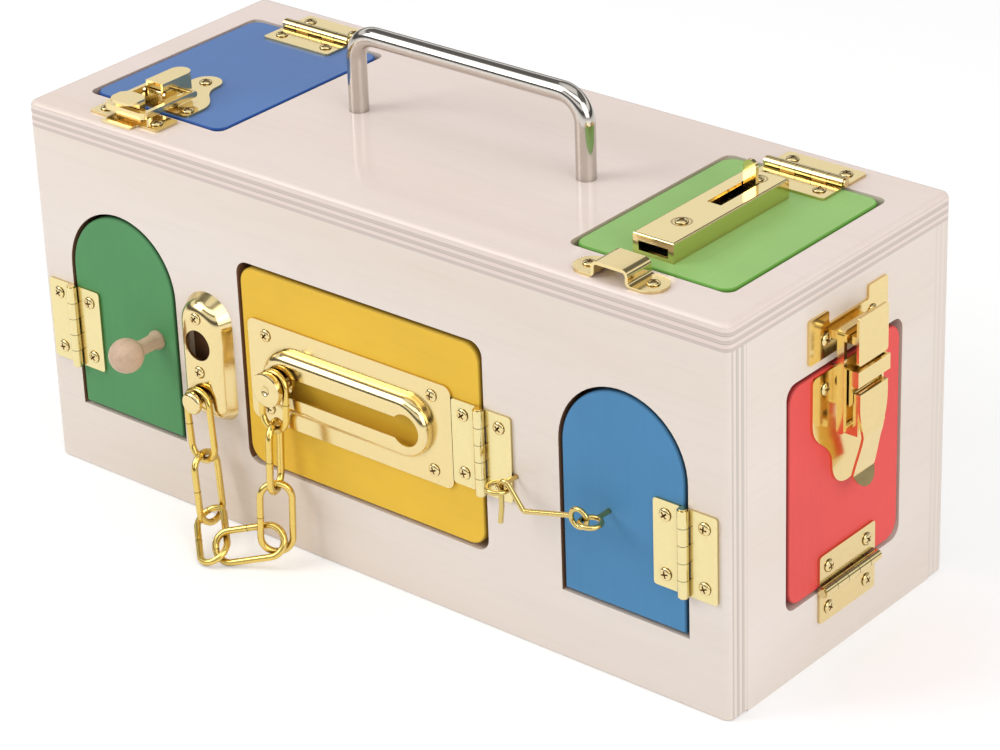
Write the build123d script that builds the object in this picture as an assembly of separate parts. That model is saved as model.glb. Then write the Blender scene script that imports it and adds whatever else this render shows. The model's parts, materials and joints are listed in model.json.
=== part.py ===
from build123d import *
from dataclasses import dataclass
import os

# Wooden lock box: a plywood box with six little doors, each shut by its own lock.
# Millimetres. +X runs along the box to the right, +Y to the back, +Z up.
# The origin is in the middle of the footprint, on the surface that the box stands on.

# Plywood box
box_length = 390.0
box_depth = 156.0
box_height = 180.0
ply = 12.0
corner_round = 4.0
edge_round = 3.0
foot_round = 1.5
cut_overrun = 2.0

# Door openings: their widths and places go with the length, their heads with the height
arch_offset_share = 142 / 390
arch_width_share = 66 / 390
hatch_width_share = 139 / 390
lid_offset_share = 138 / 390
lid_width_share = 82 / 390
arch_offset = box_length * arch_offset_share
arch_width = box_length * arch_width_share
arch_sill = 33.0
arch_head_margin = 43.5
arch_crown = box_height - arch_head_margin
hatch_width = box_length * hatch_width_share
hatch_sill = 36.5
hatch_head_margin = 44.5
hatch_head = box_height - hatch_head_margin
hatch_round = 6.5
end_door_margin = 37.0
end_door_shift = 1.5
end_door_width = box_depth - 2 * end_door_margin
end_door_sill = 32.6
end_door_head_margin = 43.0
end_door_head = box_height - end_door_head_margin
end_door_round = 6.0
lid_margin = 23.0
lid_offset = box_length * lid_offset_share
lid_width = box_length * lid_width_share
lid_depth = box_depth - 2 * lid_margin
lid_round = 4.5
door_gap = 1.8
door_relief = 0.3
door_edge_round = 0.8

# Door stops glued inside, behind the free edges
stop_length = 24.0
stop_depth = 8.0
stop_lap = 5.0
stop_grip = 7.0

# Screws
screw_head_radius = 2.9
screw_head_depth = 1.2
screw_crown = 0.5
screw_crown_share = 0.75
screw_shank_radius = 1.4
screw_grip = 8.0
recess_width = 0.8
recess_span = 3.4
recess_depth = 0.9
fit_clearance = 0.05

# Butt hinges
hinge_length = 40.0
leaf_reach = 16.0
leaf_thickness = 1.2
leaf_corner = 1.5
barrel_radius = 2.5
hinge_pin_radius = 1.2
pin_head_radius = 1.9
pin_head_depth = 0.6
knuckle_count = 5
knuckle_gap = 0.25
hinge_screw_reach = 9.8
hinge_screw_spacing = 27.4
arch_hinge_height = 74.0
hatch_hinge_height = (hatch_sill + hatch_head) / 2
end_hinge_offset = 1.5

# Carrying handle
handle_span = 128.0
handle_rise = 37.0
handle_radius = 4.5
handle_bend = 12.0
handle_bolt_radius = 2.0
handle_bolt_depth = 10.0
handle_bolt_head_radius = 4.5
handle_bolt_head_depth = 2.6

# Turned wooden knob on the green door
knob_inset = 13.5
knob_height = 81.0
knob_ball_radius = 8.0
knob_ball_reach = 20.0
knob_foot_radius = 4.6
knob_neck_radius = 3.6
knob_screw_depth = 14.0
knob_screw_head_radius = 3.2
knob_screw_head_depth = 1.8

# Door chain: slot plate on the yellow door
chain_sheet = 1.2
slot_plate_left = 5.8
slot_plate_right = 17.2
slot_plate_width = hatch_width - slot_plate_left - slot_plate_right
slot_plate_height = 48.5
slot_plate_corner = 4.0
slot_plate_shift = (slot_plate_left - slot_plate_right) / 2
slot_plate_level = hatch_hinge_height
slot_screw_inset_x = 10.5
slot_screw_inset_z = 6.5
bead_margin = 10.5
bead_width = slot_plate_width - 2 * bead_margin
bead_height = 29.0
bead_rise = 7.0
bead_round = 4.5
slot_height = 10.0
slot_rest_inset = 11.2
slot_spare = 22.0
slot_rest = slot_plate_shift - bead_width / 2 + slot_rest_inset
slot_travel = bead_width - slot_spare
keyhole_radius = 7.5

# Door chain: anchor plate on the frame
anchor_spacing = 47.0
anchor_drop = 2.5
anchor_shift = slot_rest - anchor_spacing
anchor_level = slot_plate_level - anchor_drop
anchor_width = 29.0
anchor_height = 61.0
anchor_low_round = 8.0
anchor_rise = 8.0
anchor_slope_degrees = 29.0
anchor_edge_round = 7.0
anchor_sheet = 1.4
park_hole_radius = 7.3
park_hole_rise = 7.5
park_hole_level = anchor_level + park_hole_rise
anchor_screw_rise = 13.2
rivet_drop = 18.5
rivet_level = anchor_level - rivet_drop
rivet_neck_radius = 2.8
rivet_neck_length = 5.2
rivet_head_radius = 5.4
rivet_head_depth = 2.8

# Door chain: knob and links
knob_neck_play = 0.5
knob_flange_radius = 6.6
knob_flange_depth = 1.8
knob_flange_play = 1.0
chain_gap = 5.2
knob_disc_radius = 8.0
knob_disc_depth = 3.2
knob_disc_round = 0.8
link_wire_radius = 1.6
link_length = 36.0
link_width = 17.4
bail_length = 30.0
link_play = 0.35
steep_share = 0.9
left_lean_degrees = 9.0
right_lean_degrees = 1.5
outward_lean_degrees = 5.0
second_link_roll_degrees = 90.0
fifth_link_roll_degrees = 66.5
sixth_link_roll_degrees = 139.3
third_link_shift_x = -4.26
third_link_shift_y = 2.36
third_link_shift_z = 3.47
third_link_turn_degrees = -42.6
third_link_dip_degrees = 14.0
third_link_roll_degrees = 30.4
fourth_link_shift_x = -3.85
fourth_link_shift_y = 4.76
fourth_link_shift_z = 2.35
fourth_link_turn_degrees = 27.3
fourth_link_dip_degrees = -13.9
fourth_link_roll_degrees = 61.5

# Hook and eye on the blue arched door
wire_radius = 1.15
eye_shank_depth = 9.0
hook_reach = 12.0
hook_level = 79.0
catch_inset = 16.5
catch_shift = hatch_width / 2 + catch_inset
catch_ring_radius = 4.6
pivot_inset = 7.3
pivot_shift = arch_offset - pivot_inset
pivot_ring_radius = 4.5
hook_loop_radius = 4.05
hook_loop_play = 0.2
hook_tail_shift = 1.8
hook_tail_drop = 16.0
hook_tail_flick = 1.0
hook_crest = 8.4
hook_kink_reach = 13.4
hook_kink_drop = 6.6
hook_bend = 2.2

# Sliding bolt on the green lid
bolt_inset = 3.5
bolt_shift = lid_offset - bolt_inset
case_width = 20.5
case_front_margin = 9.0
case_back_margin = 22.5
case_length = lid_depth - case_front_margin - case_back_margin
case_front = case_front_margin - lid_depth / 2
case_rise = 9.0
case_sheet = 1.4
case_round = 0.8
case_front_screw_share = 19 / 78.5
case_back_screw_inset = 8.0
case_front_screw = case_length * case_front_screw_share
case_back_screw = case_length - case_back_screw_inset
bolt_width = 14.0
bolt_depth = 3.4
bolt_play = 0.4
bolt_travel_share = 24 / 78.5
bolt_travel = case_length * bolt_travel_share
bolt_setback = 5.0
bolt_nose_round = 1.2
tab_width = 6.4
tab_depth = 2.0
tab_rise = 10.5
tab_back_inset = 11.5
tab_back = case_length - tab_back_inset
bolt_keeper_width = 45.0
bolt_keeper_depth = 15.5
bolt_keeper_setback = 4.0
bolt_keeper_bend = 0.4
bolt_keeper_screw_spacing = 32.0

# Draw latches: shared sheet and pins
latch_sheet = 1.2
latch_pin_radius = 1.2
latch_play = 0.35
cheek_play = 0.3

# Draw latch on the right end
side_latch_shift = 0.5
side_keeper_width = 55.0
side_keeper_low = 4.0
side_keeper_high = 24.0
side_keeper_waist = 18.0
side_keeper_ear = 13.5
side_keeper_screw_spread = 33.0
side_keeper_screw_level = 12.0
side_hook_width = 20.8
side_hook_low = 0.5
side_hook_high = 22.0
side_hook_root_low = 10.0
side_hook_root_high = 13.5
side_hook_rise = 12.0
side_hook_round = 1.6
side_base_width = 50.0
side_base_top = -3.0
side_base_shoulder = -23.0
side_base_tail = -58.6
side_tail_radius = 10.8
side_base_screw_spread = 33.0
side_base_screw_level = -10.0
side_tail_screw = False
side_lever_pivot = -15.0
side_loop_pivot = -27.0
side_pivot_rise = 7.5
side_lever_rise = 12.5
side_lever_width = 19.6
side_lever_top = -12.3
side_lever_shoulder = -18.0
side_lever_waist_width = 13.6
side_lever_waist_level = -34.0
side_lever_neck_width = 15.0
side_lever_tail = -58.0
side_lever_bend = -33.0
side_lever_flare = -52.0
side_lever_dip = 4.5
side_lever_flare_rise = 2.5
side_flange_end = -31.5
side_flange_low = 4.6
side_cheek_top = -1.5
side_cheek_end = -18.5
side_cheek_rise = 10.4
side_bridge_length = 7.0
side_arm_spread = 24.4
side_arm_width = 2.0
side_arm_low = 5.2
side_arm_high = 8.6
side_bar_width = 3.0

# Draw latch on the blue lid
top_latch_shift = -2.4
top_keeper_width = 42.0
top_keeper_low = 2.5
top_keeper_high = 16.0
top_keeper_waist = 21.0
top_keeper_ear = 12.0
top_keeper_screw_spread = 31.0
top_keeper_screw_level = 10.5
top_hook_width = 15.0
top_hook_low = 6.0
top_hook_high = 18.0
top_hook_root_low = 9.0
top_hook_root_high = 12.5
top_hook_rise = 9.4
top_hook_round = 5.0
top_base_width = 41.0
top_base_top = -3.0
top_base_shoulder = -12.5
top_base_tail = -44.0
top_tail_radius = 7.5
top_base_screw_spread = 33.0
top_base_screw_level = -8.0
top_tail_screw = True
top_lever_pivot = -8.0
top_loop_pivot = -15.5
top_pivot_rise = 6.0
top_lever_rise = 11.0
top_lever_width = 10.4
top_lever_top = -4.6
top_lever_shoulder = -13.0
top_lever_waist_width = 10.4
top_lever_waist_level = -16.5
top_lever_neck_width = 10.4
top_lever_tail = -25.5
top_lever_bend = -14.0
top_lever_flare = -20.0
top_lever_dip = 0.0
top_lever_flare_rise = 0.0
top_flange_end = -22.5
top_flange_low = 4.2
top_cheek_top = -3.6
top_cheek_end = -11.5
top_cheek_rise = 8.6
top_arm_spread = 21.0
top_arm_width = 2.2
top_arm_low = 3.6
top_arm_high = 6.6
top_bar_width = 2.8

# Face frames: local Z points out of the wood, local Y points up the face or to the back
FRONT = Plane(origin=(0, -box_depth / 2, 0), x_dir=(1, 0, 0), z_dir=(0, -1, 0)).location
END = Plane(origin=(box_length / 2, 0, 0), x_dir=(0, 1, 0), z_dir=(1, 0, 0)).location
TOP = Plane(origin=(0, 0, box_height), x_dir=(1, 0, 0), z_dir=(0, 0, 1)).location

nodes = {}
screws = {}
pilots = {}


# Small shapes
def plate(width, height, thickness, radius):
    """A flat plate on the face, with rounded corners."""
    return extrude(RectangleRounded(width, height, radius), thickness)


def box_between(low, high):
    """A block between two corners."""
    size = [b - a for a, b in zip(low, high)]
    middle = [(a + b) / 2 for a, b in zip(low, high)]
    return Pos(*middle) * Box(*size)


def rod_along_x(radius, x_low, x_high, y, z):
    """A round rod parallel to local X."""
    return Pos((x_low + x_high) / 2, y, z) * Rot(0, 90, 0) * Cylinder(radius, x_high - x_low)


def rod_along_z(radius, z_low, z_high):
    """A round rod on local Z."""
    return Pos(0, 0, (z_low + z_high) / 2) * Cylinder(radius, z_high - z_low)


def wood_screw(grip):
    """A countersunk cross-head screw whose head sits at z = 0, with its crown above."""
    shoulder = (screw_head_radius / 2, screw_crown * screw_crown_share)
    arc = ThreePointArc((screw_head_radius, 0), shoulder, (0, screw_crown))
    sides = Polyline(
        (0, screw_crown),
        (0, -screw_head_depth - grip),
        (screw_shank_radius, -screw_head_depth - grip + screw_shank_radius),
        (screw_shank_radius, -screw_head_depth),
        (screw_head_radius, 0),
    )
    body = revolve(Plane.XZ * make_face(arc + sides), Axis.Z)
    slot = Pos(0, 0, screw_crown - recess_depth / 2)
    bar = Box(recess_span, recess_width, recess_depth)
    return body - slot * bar - slot * Rot(0, 0, 90) * bar


def screw_hole(seat):
    """The countersunk hole of a screw whose head sits at the given height."""
    shank = rod_along_z(screw_shank_radius + fit_clearance, -cut_overrun, seat + cut_overrun)
    sink_low = screw_shank_radius + fit_clearance
    sink_high = screw_head_radius + fit_clearance
    sink = Pos(0, 0, seat - screw_head_depth / 2) * Cone(sink_low, sink_high, screw_head_depth)
    return shank + sink


def drive_screw(group, wood, place, seat):
    """Put a screw in a group and its pilot hole in a piece of wood."""
    reach = seat - screw_head_depth
    screws.setdefault(group, []).append(place * Pos(0, 0, seat) * wood_screw(screw_grip + reach))
    hole = rod_along_z(screw_shank_radius + fit_clearance, -screw_grip - fit_clearance, cut_overrun)
    pilots.setdefault(wood, []).append(place * hole)


# Openings and doors
def arch_outline(inset):
    """The round-headed opening, or the door inside it."""
    radius = arch_width / 2 - inset
    spring = arch_crown - arch_width / 2
    low = arch_sill + inset
    lower = Pos(0, (low + spring) / 2) * Rectangle(2 * radius, spring - low)
    return Pos(0, spring) * Circle(radius) + lower


def hatch_outline(inset):
    """The wide front opening, or the door inside it."""
    middle = (hatch_sill + hatch_head) / 2
    height = hatch_head - hatch_sill - 2 * inset
    return Pos(0, middle) * RectangleRounded(hatch_width - 2 * inset, height, hatch_round + inset)


def end_door_outline(inset):
    """The opening in the right end, or the door inside it."""
    middle = (end_door_sill + end_door_head) / 2
    height = end_door_head - end_door_sill - 2 * inset
    return Pos(0, middle) * RectangleRounded(end_door_width - 2 * inset, height, end_door_round + inset)


def lid_outline(inset):
    """An opening in the top, or the lid inside it."""
    return RectangleRounded(lid_width - 2 * inset, lid_depth - 2 * inset, lid_round + inset)


def opening(outline):
    """The cutter of an opening, through the whole thickness of the wood."""
    return Pos(0, 0, cut_overrun) * extrude(outline(0), -ply - 2 * cut_overrun)


def door_panel(outline):
    """A plywood door, flush with the face, with its front edge eased."""
    panel = extrude(outline(door_gap), -ply + door_relief)
    return fillet(panel.faces().sort_by(Axis.Z)[-1].edges(), door_edge_round)


def door_stop(along_x):
    """A stop block under the wood, centred on an edge of an opening, with its lap towards +X or +Y."""
    across = stop_lap + door_gap + stop_grip
    shift = (stop_lap + door_gap - stop_grip) / 2
    block = Box(across, stop_length, stop_depth) if along_x else Box(stop_length, across, stop_depth)
    return (Pos(shift, 0, 0) if along_x else Pos(0, shift, 0)) * Pos(0, 0, -ply - stop_depth / 2) * block


# Hinges
def hinge_leaf(own_knuckles):
    """One leaf of a butt hinge: the barrel is on local Y and the leaf runs towards +X."""
    start = barrel_radius + knuckle_gap
    leaf = box_between((start, -hinge_length / 2, 0), (leaf_reach, hinge_length / 2, leaf_thickness))
    corners = leaf.edges().filter_by(Axis.Z).group_by(Axis.X)[-1]
    leaf = fillet(corners, leaf_corner)
    pitch = hinge_length / knuckle_count
    for knuckle in own_knuckles:
        low = knuckle * pitch - hinge_length / 2 + knuckle_gap / 2
        high = low + pitch - knuckle_gap
        middle = Pos(0, (low + high) / 2, barrel_radius)
        barrel = middle * Rot(90, 0, 0) * Cylinder(barrel_radius, high - low)
        leaf = leaf + barrel + box_between((0, low, 0), (start, high, leaf_thickness))
    bore_length = hinge_length + 2 * cut_overrun
    bore = Rot(90, 0, 0) * Cylinder(hinge_pin_radius + fit_clearance, bore_length)
    holes = [place * screw_hole(leaf_thickness) for place in hinge_screw_places()]
    return leaf - Pos(0, 0, barrel_radius) * bore - holes


def hinge_screw_places():
    """The two screws of a leaf that runs towards +X."""
    return [Pos(hinge_screw_reach, side * hinge_screw_spacing / 2, 0) for side in (-1, 1)]


def hinge_pin():
    """The pin of a hinge, with a peened head at each end."""
    pin = Cylinder(hinge_pin_radius, hinge_length)
    for side in (-1, 1):
        end = Pos(0, 0, side * (hinge_length + pin_head_depth) / 2)
        pin = pin + end * Cylinder(pin_head_radius, pin_head_depth)
    return Pos(0, 0, barrel_radius) * Rot(90, 0, 0) * pin


def hang_door(name, place, frame_wood):
    """Hinge a door: a leaf on the frame, a leaf on the door, their screws and the pin."""
    turned = place * Rot(0, 0, 180)
    nodes[name + "_hinge_frame_leaf"] = turned * hinge_leaf(range(0, knuckle_count, 2))
    nodes[name + "_hinge_door_leaf"] = place * hinge_leaf(range(1, knuckle_count, 2))
    for spot in hinge_screw_places():
        drive_screw("frame_screws", frame_wood, turned * spot, leaf_thickness)
        drive_screw(name + "_screws", name + "_panel", place * spot, leaf_thickness)
    return place * hinge_pin()


# Carrying handle
def carry_handle():
    """A round bar bent to a bow, with a threaded hole up each foot."""
    half = handle_span / 2
    corners = [(-half, 0, 0), (-half, 0, handle_rise), (half, 0, handle_rise), (half, 0, 0)]
    path = FilletPolyline(*corners, radius=handle_bend)
    bow = sweep(Pos(-half, 0, 0) * Circle(handle_radius), path)
    hole = rod_along_z(handle_bolt_radius + fit_clearance, -cut_overrun, handle_bolt_depth)
    return bow - [Pos(side * half, 0, 0) * hole for side in (-1, 1)]


def handle_bolt():
    """A pan-head bolt that comes up through the top into a foot of the handle."""
    shank = rod_along_z(handle_bolt_radius, -ply, handle_bolt_depth - fit_clearance)
    head = rod_along_z(handle_bolt_head_radius, -ply - handle_bolt_head_depth, -ply)
    return shank + head


# Turned knob
def turned_knob():
    """A ball on a waisted neck, with a pilot hole for the screw from behind."""
    neck = Pos(0, 0, knob_ball_reach / 2) * Cone(knob_foot_radius, knob_neck_radius, knob_ball_reach)
    ball = Pos(0, 0, knob_ball_reach) * Sphere(knob_ball_radius)
    return neck + ball - rod_along_z(screw_shank_radius + fit_clearance, -cut_overrun, knob_screw_depth)


def knob_screw():
    """A pan-head screw through the door from inside into the knob."""
    back = -ply + door_relief
    shank = rod_along_z(screw_shank_radius, back, knob_screw_depth - fit_clearance)
    head = rod_along_z(knob_screw_head_radius, back - knob_screw_head_depth, back)
    return shank + head


# Door chain
def slot_screw_places():
    """The four corner screws of the slot plate."""
    x = slot_plate_width / 2 - slot_screw_inset_x
    y = slot_plate_height / 2 - slot_screw_inset_z
    return [Pos(side * x, level * y, 0) for side in (-1, 1) for level in (-1, 1)]


def slot_plate():
    """A plate with a raised hollow bead around the keyhole slot that the chain knob runs in."""
    shell = extrude(SlotOverall(bead_width, bead_height), bead_rise)
    shell = fillet(shell.faces().sort_by(Axis.Z)[-1].edges(), bead_round)
    inner_width = bead_width - 2 * chain_sheet
    inner_height = bead_height - 2 * chain_sheet
    hollow = extrude(SlotOverall(inner_width, inner_height), bead_rise - chain_sheet)
    hollow = fillet(hollow.faces().sort_by(Axis.Z)[-1].edges(), bead_round - chain_sheet)
    base = plate(slot_plate_width, slot_plate_height, chain_sheet, slot_plate_corner)
    start = slot_rest - slot_plate_shift
    middle = start + slot_travel / 2
    keyhole = Pos(start + slot_travel, 0) * Circle(keyhole_radius)
    slot = Pos(middle, 0) * SlotCenterToCenter(slot_travel, slot_height) + keyhole
    holes = [place * screw_hole(chain_sheet) for place in slot_screw_places()]
    return base + shell - hollow - extrude(slot, bead_rise + cut_overrun) - holes


def anchor_outline(inset):
    """A long plate with a round head and a squarer foot."""
    radius = anchor_width / 2 - inset
    top = anchor_height / 2 - anchor_width / 2
    low = -anchor_height / 2 + inset
    low_round = anchor_low_round - inset
    body = Pos(0, (low + top) / 2) * Rectangle(2 * radius, top - low)
    body = fillet(body.vertices().group_by(Axis.Y)[0], low_round)
    return Pos(0, top) * Circle(radius) + body


def anchor_screw_places():
    """The two screws of the anchor plate, above and below the parking hole."""
    level = park_hole_level - anchor_level
    return [Pos(0, level + side * anchor_screw_rise, 0) for side in (-1, 1)]


def anchor_plate():
    """A pressed hollow plate with the hole where the chain knob is parked."""
    shell = extrude(anchor_outline(0), anchor_rise, taper=anchor_slope_degrees)
    shell = fillet(shell.faces().sort_by(Axis.Z)[-1].edges(), anchor_edge_round)
    hollow = extrude(anchor_outline(anchor_sheet), anchor_rise - anchor_sheet, taper=anchor_slope_degrees)
    through = anchor_rise + cut_overrun
    park = Pos(0, park_hole_level - anchor_level, 0) * rod_along_z(park_hole_radius, -cut_overrun, through)
    rivet_hole = rod_along_z(rivet_neck_radius + fit_clearance, -cut_overrun, through)
    rivet_hole = Pos(0, rivet_level - anchor_level, 0) * rivet_hole
    holes = [place * screw_hole(anchor_rise) for place in anchor_screw_places()]
    return shell - hollow - park - rivet_hole - holes


def anchor_rivet():
    """The headed post that the first link hangs on."""
    top = anchor_rise + rivet_neck_length
    post = rod_along_z(rivet_neck_radius, 0, top)
    head = rod_along_z(rivet_head_radius, top, top + rivet_head_depth)
    head = fillet(head.faces().sort_by(Axis.Z)[-1].edges(), rivet_head_depth / 2)
    return post + head


def chain_knob():
    """The headed knob of the chain: a disc in front, a neck in the slot and a flange behind it."""
    neck_radius = slot_height / 2 - knob_neck_play
    back = bead_rise - chain_sheet - knob_flange_play - knob_flange_depth
    front = bead_rise + chain_gap
    neck = rod_along_z(neck_radius, back, front)
    flange = rod_along_z(knob_flange_radius, back, back + knob_flange_depth)
    disc = rod_along_z(knob_disc_radius, front, front + knob_disc_depth)
    disc = fillet(disc.faces().sort_by(Axis.Z)[-1].edges(), knob_disc_round)
    return neck + flange + disc


def chain_link(length):
    """An oblong wire link: local X is its long axis and local Z is normal to its plane."""
    wire = 2 * link_wire_radius
    path = SlotOverall(length - wire, link_width - wire).wire()
    start = Plane(origin=path @ 0, z_dir=path % 0)
    return sweep(start * Circle(link_wire_radius), path)


@dataclass
class LinkSpot:
    """A link's place: its middle, the way it runs, its turn about that line and its length."""

    middle: Vector
    along: Vector
    roll: float
    length: float

    def end(self, side):
        """The middle of the wire at one end."""
        return self.middle + self.along * (side * (self.length / 2 - link_wire_radius))

    def solid(self):
        """The link itself."""
        side = Vector(0, 0, 1) if abs(self.along.Z) < steep_share else Vector(0, 1, 0)
        normal = (side - self.along * side.dot(self.along)).normalized()
        frame = Plane(origin=self.middle, x_dir=self.along, z_dir=normal)
        return frame.location * Rot(self.roll, 0, 0) * chain_link(self.length)


def hang_link(contact, along, roll, length, seat_radius):
    """Hang a link so that the inside of its first end bears on a wire or post at the given point."""
    along = along.normalized()
    reach = length / 2 - 2 * link_wire_radius - seat_radius - link_play
    return LinkSpot(contact + along * reach, along, roll, length)


def lay_link(contact, shift, along, roll):
    """Lay a link with the wire of its first end shifted from the wire that it is caught on."""
    reach = link_length / 2 - link_wire_radius
    return LinkSpot(contact + shift + along * reach, along, roll, link_length)


def leaning(lean_degrees):
    """The way down a hanging run, leaning to the right and away from the box."""
    return Vector(0, 0, -1).rotate(Axis.Y, -lean_degrees).rotate(Axis.X, -outward_lean_degrees)


def lying(turn_degrees, dip_degrees):
    """The way along a link on the floor, turned from +X and dipped below the level."""
    return Vector(1, 0, 0).rotate(Axis.Y, dip_degrees).rotate(Axis.Z, turn_degrees)


def chain_spots():
    """Places of all the links, from the anchor down to the floor and up to the knob."""
    anchor = Vector(anchor_shift, -box_depth / 2 - anchor_rise - rivet_neck_length / 2, rivet_level)
    left = leaning(left_lean_degrees)
    first = hang_link(anchor, left, 0, link_length, rivet_neck_radius)
    second = hang_link(first.end(1), left, second_link_roll_degrees, link_length, link_wire_radius)
    third_way = lying(third_link_turn_degrees, third_link_dip_degrees)
    third_shift = Vector(third_link_shift_x, third_link_shift_y, third_link_shift_z)
    third = lay_link(second.end(1), third_shift, third_way, third_link_roll_degrees)
    fourth_way = lying(fourth_link_turn_degrees, fourth_link_dip_degrees)
    fourth_shift = Vector(fourth_link_shift_x, fourth_link_shift_y, fourth_link_shift_z)
    fourth = lay_link(third.end(1), fourth_shift, fourth_way, fourth_link_roll_degrees)
    knob = Vector(slot_rest, -box_depth / 2 - bead_rise - chain_gap / 2, slot_plate_level)
    right = leaning(right_lean_degrees)
    bail = hang_link(knob, right, 0, bail_length, slot_height / 2 - knob_neck_play)
    fifth = hang_link(bail.end(1), right, fifth_link_roll_degrees, link_length, link_wire_radius)
    sixth = hang_link(fifth.end(1), right, sixth_link_roll_degrees, link_length, link_wire_radius)
    return {"left": [first, second], "floor": [third, fourth], "right": [bail, fifth, sixth]}


# Hook and eye
def screw_eye(ring_radius):
    """A wire eye: a level ring in front of the wood on a shank that runs into it."""
    ring = Pos(0, 0, hook_reach) * Rot(90, 0, 0) * Torus(ring_radius, wire_radius)
    return ring + rod_along_z(wire_radius, -eye_shank_depth, hook_reach - ring_radius)


def hook_pivot_x():
    """Where the hook turns on the wire of its eye."""
    return pivot_shift - pivot_ring_radius


def door_hook():
    """A bent wire hook with a closed loop, lying in a plane parallel to the front."""
    loop_x = hook_pivot_x() + 2 * wire_radius + hook_loop_play - hook_loop_radius
    tail_x = catch_shift + hook_tail_shift
    kink_x = catch_shift + hook_kink_reach
    path = FilletPolyline(
        (tail_x - hook_tail_flick, hook_level - hook_tail_drop, hook_reach),
        (tail_x, hook_level - hook_tail_drop / 2, hook_reach),
        (tail_x, hook_level + hook_crest, hook_reach),
        (kink_x, hook_level - hook_kink_drop, hook_reach),
        (loop_x - hook_loop_radius, hook_level, hook_reach),
        radius=hook_bend,
    )
    start = Plane(origin=path @ 0, z_dir=path % 0)
    loop = Pos(loop_x, hook_level, hook_reach) * Torus(hook_loop_radius, wire_radius)
    return sweep(start * Circle(wire_radius), path) + loop


# Sliding bolt
def case_screw_places():
    """The two screws through the top of the bolt case."""
    return [Pos(0, case_front + reach, 0) for reach in (case_front_screw, case_back_screw)]


def bolt_case():
    """An inverted channel with a slot for the thumb tab and a mouth for the bolt."""
    middle = case_front + case_length / 2
    shell = Pos(0, middle, 0) * extrude(Rectangle(case_width, case_length), case_rise)
    shell = fillet(shell.faces().sort_by(Axis.Z)[-1].edges(), case_round)
    inner = (case_width / 2 - case_sheet, case_rise - case_sheet)
    hollow = box_between(
        (-inner[0], case_front + case_sheet, -cut_overrun),
        (inner[0], case_front + case_length - case_sheet, inner[1]),
    )
    half_mouth = bolt_width / 2 + bolt_play
    mouth = box_between(
        (-half_mouth, case_front - cut_overrun, bolt_low() - bolt_play),
        (half_mouth, case_front + case_sheet + cut_overrun, bolt_low() + bolt_depth + bolt_play),
    )
    back = case_front + tab_back + bolt_play
    front = case_front + tab_back - tab_depth - bolt_travel - bolt_play
    half_slot = tab_width / 2 + bolt_play
    slot = box_between(
        (-half_slot, front, inner[1] - cut_overrun),
        (half_slot, back, case_rise + cut_overrun),
    )
    holes = [place * screw_hole(case_rise) for place in case_screw_places()]
    return shell - hollow - mouth - slot - holes


def bolt_low():
    """Height of the underside of the bolt above the lid."""
    return (case_rise - case_sheet - bolt_depth) / 2


def sliding_bolt():
    """A flat bar with a long slot past the front screw and an upright thumb tab at its back end."""
    low = bolt_low()
    front = case_front + bolt_setback
    back = case_front + tab_back
    bar = box_between((-bolt_width / 2, front, low), (bolt_width / 2, back, low + bolt_depth))
    nose = bar.edges().filter_by(Axis.Z).group_by(Axis.Y)[0]
    bar = fillet(nose, bolt_nose_round)
    screw = case_front + case_front_screw
    half_gap = screw_shank_radius + bolt_play
    slot = box_between(
        (-half_gap, screw - half_gap, low - cut_overrun),
        (half_gap, screw + bolt_travel + half_gap, low + bolt_depth + cut_overrun),
    )
    tab = box_between((-tab_width / 2, back - tab_depth, low), (tab_width / 2, back, case_rise + tab_rise))
    crown = tab.edges().filter_by(Axis.Y).group_by(Axis.Z)[-1]
    return bar - slot + fillet(crown, tab_width / 2 - fit_clearance)


def corners_at(face, x, y):
    """The two corners of a profile at the given distance from its middle line and the given height."""
    return [
        corner for corner in face.vertices()
        if abs(abs(corner.X) - x) < fit_clearance and abs(corner.Y - y) < fit_clearance
    ]


def bolt_keeper():
    """A bent strap with two ears and a bridge that the bolt slides under."""
    inner = bolt_width / 2 + bolt_play + bolt_play
    crest = bolt_low() + bolt_depth + bolt_play + bolt_play
    outer = inner + case_sheet
    ear = bolt_keeper_width / 2
    hat = Polyline(
        (-ear, 0), (-inner, 0), (-inner, crest), (inner, crest), (inner, 0), (ear, 0),
        (ear, case_sheet), (outer, case_sheet), (outer, crest + case_sheet),
        (-outer, crest + case_sheet), (-outer, case_sheet), (-ear, case_sheet), close=True,
    )
    depth = bolt_keeper_depth
    flat = make_face(hat)
    wide_bend = bolt_keeper_bend + case_sheet
    for x, y, radius in (
        (inner, crest, bolt_keeper_bend), (outer, crest + case_sheet, wide_bend),
        (outer, case_sheet, bolt_keeper_bend), (inner, 0, wide_bend),
    ):
        flat = fillet(corners_at(flat, x, y), radius)
    strap = extrude(Plane.XZ * flat, depth / 2, both=True)
    plan = RectangleRounded(bolt_keeper_width, depth, depth / 2 - fit_clearance)
    plan = extrude(plan, crest + 2 * case_sheet)
    holes = [place * screw_hole(case_sheet) for place in bolt_keeper_screw_places()]
    return strap & plan - holes


def bolt_keeper_screw_places():
    """The two screws in the ears of the bolt keeper."""
    return [Pos(side * bolt_keeper_screw_spacing / 2, 0, 0) for side in (-1, 1)]


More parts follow.
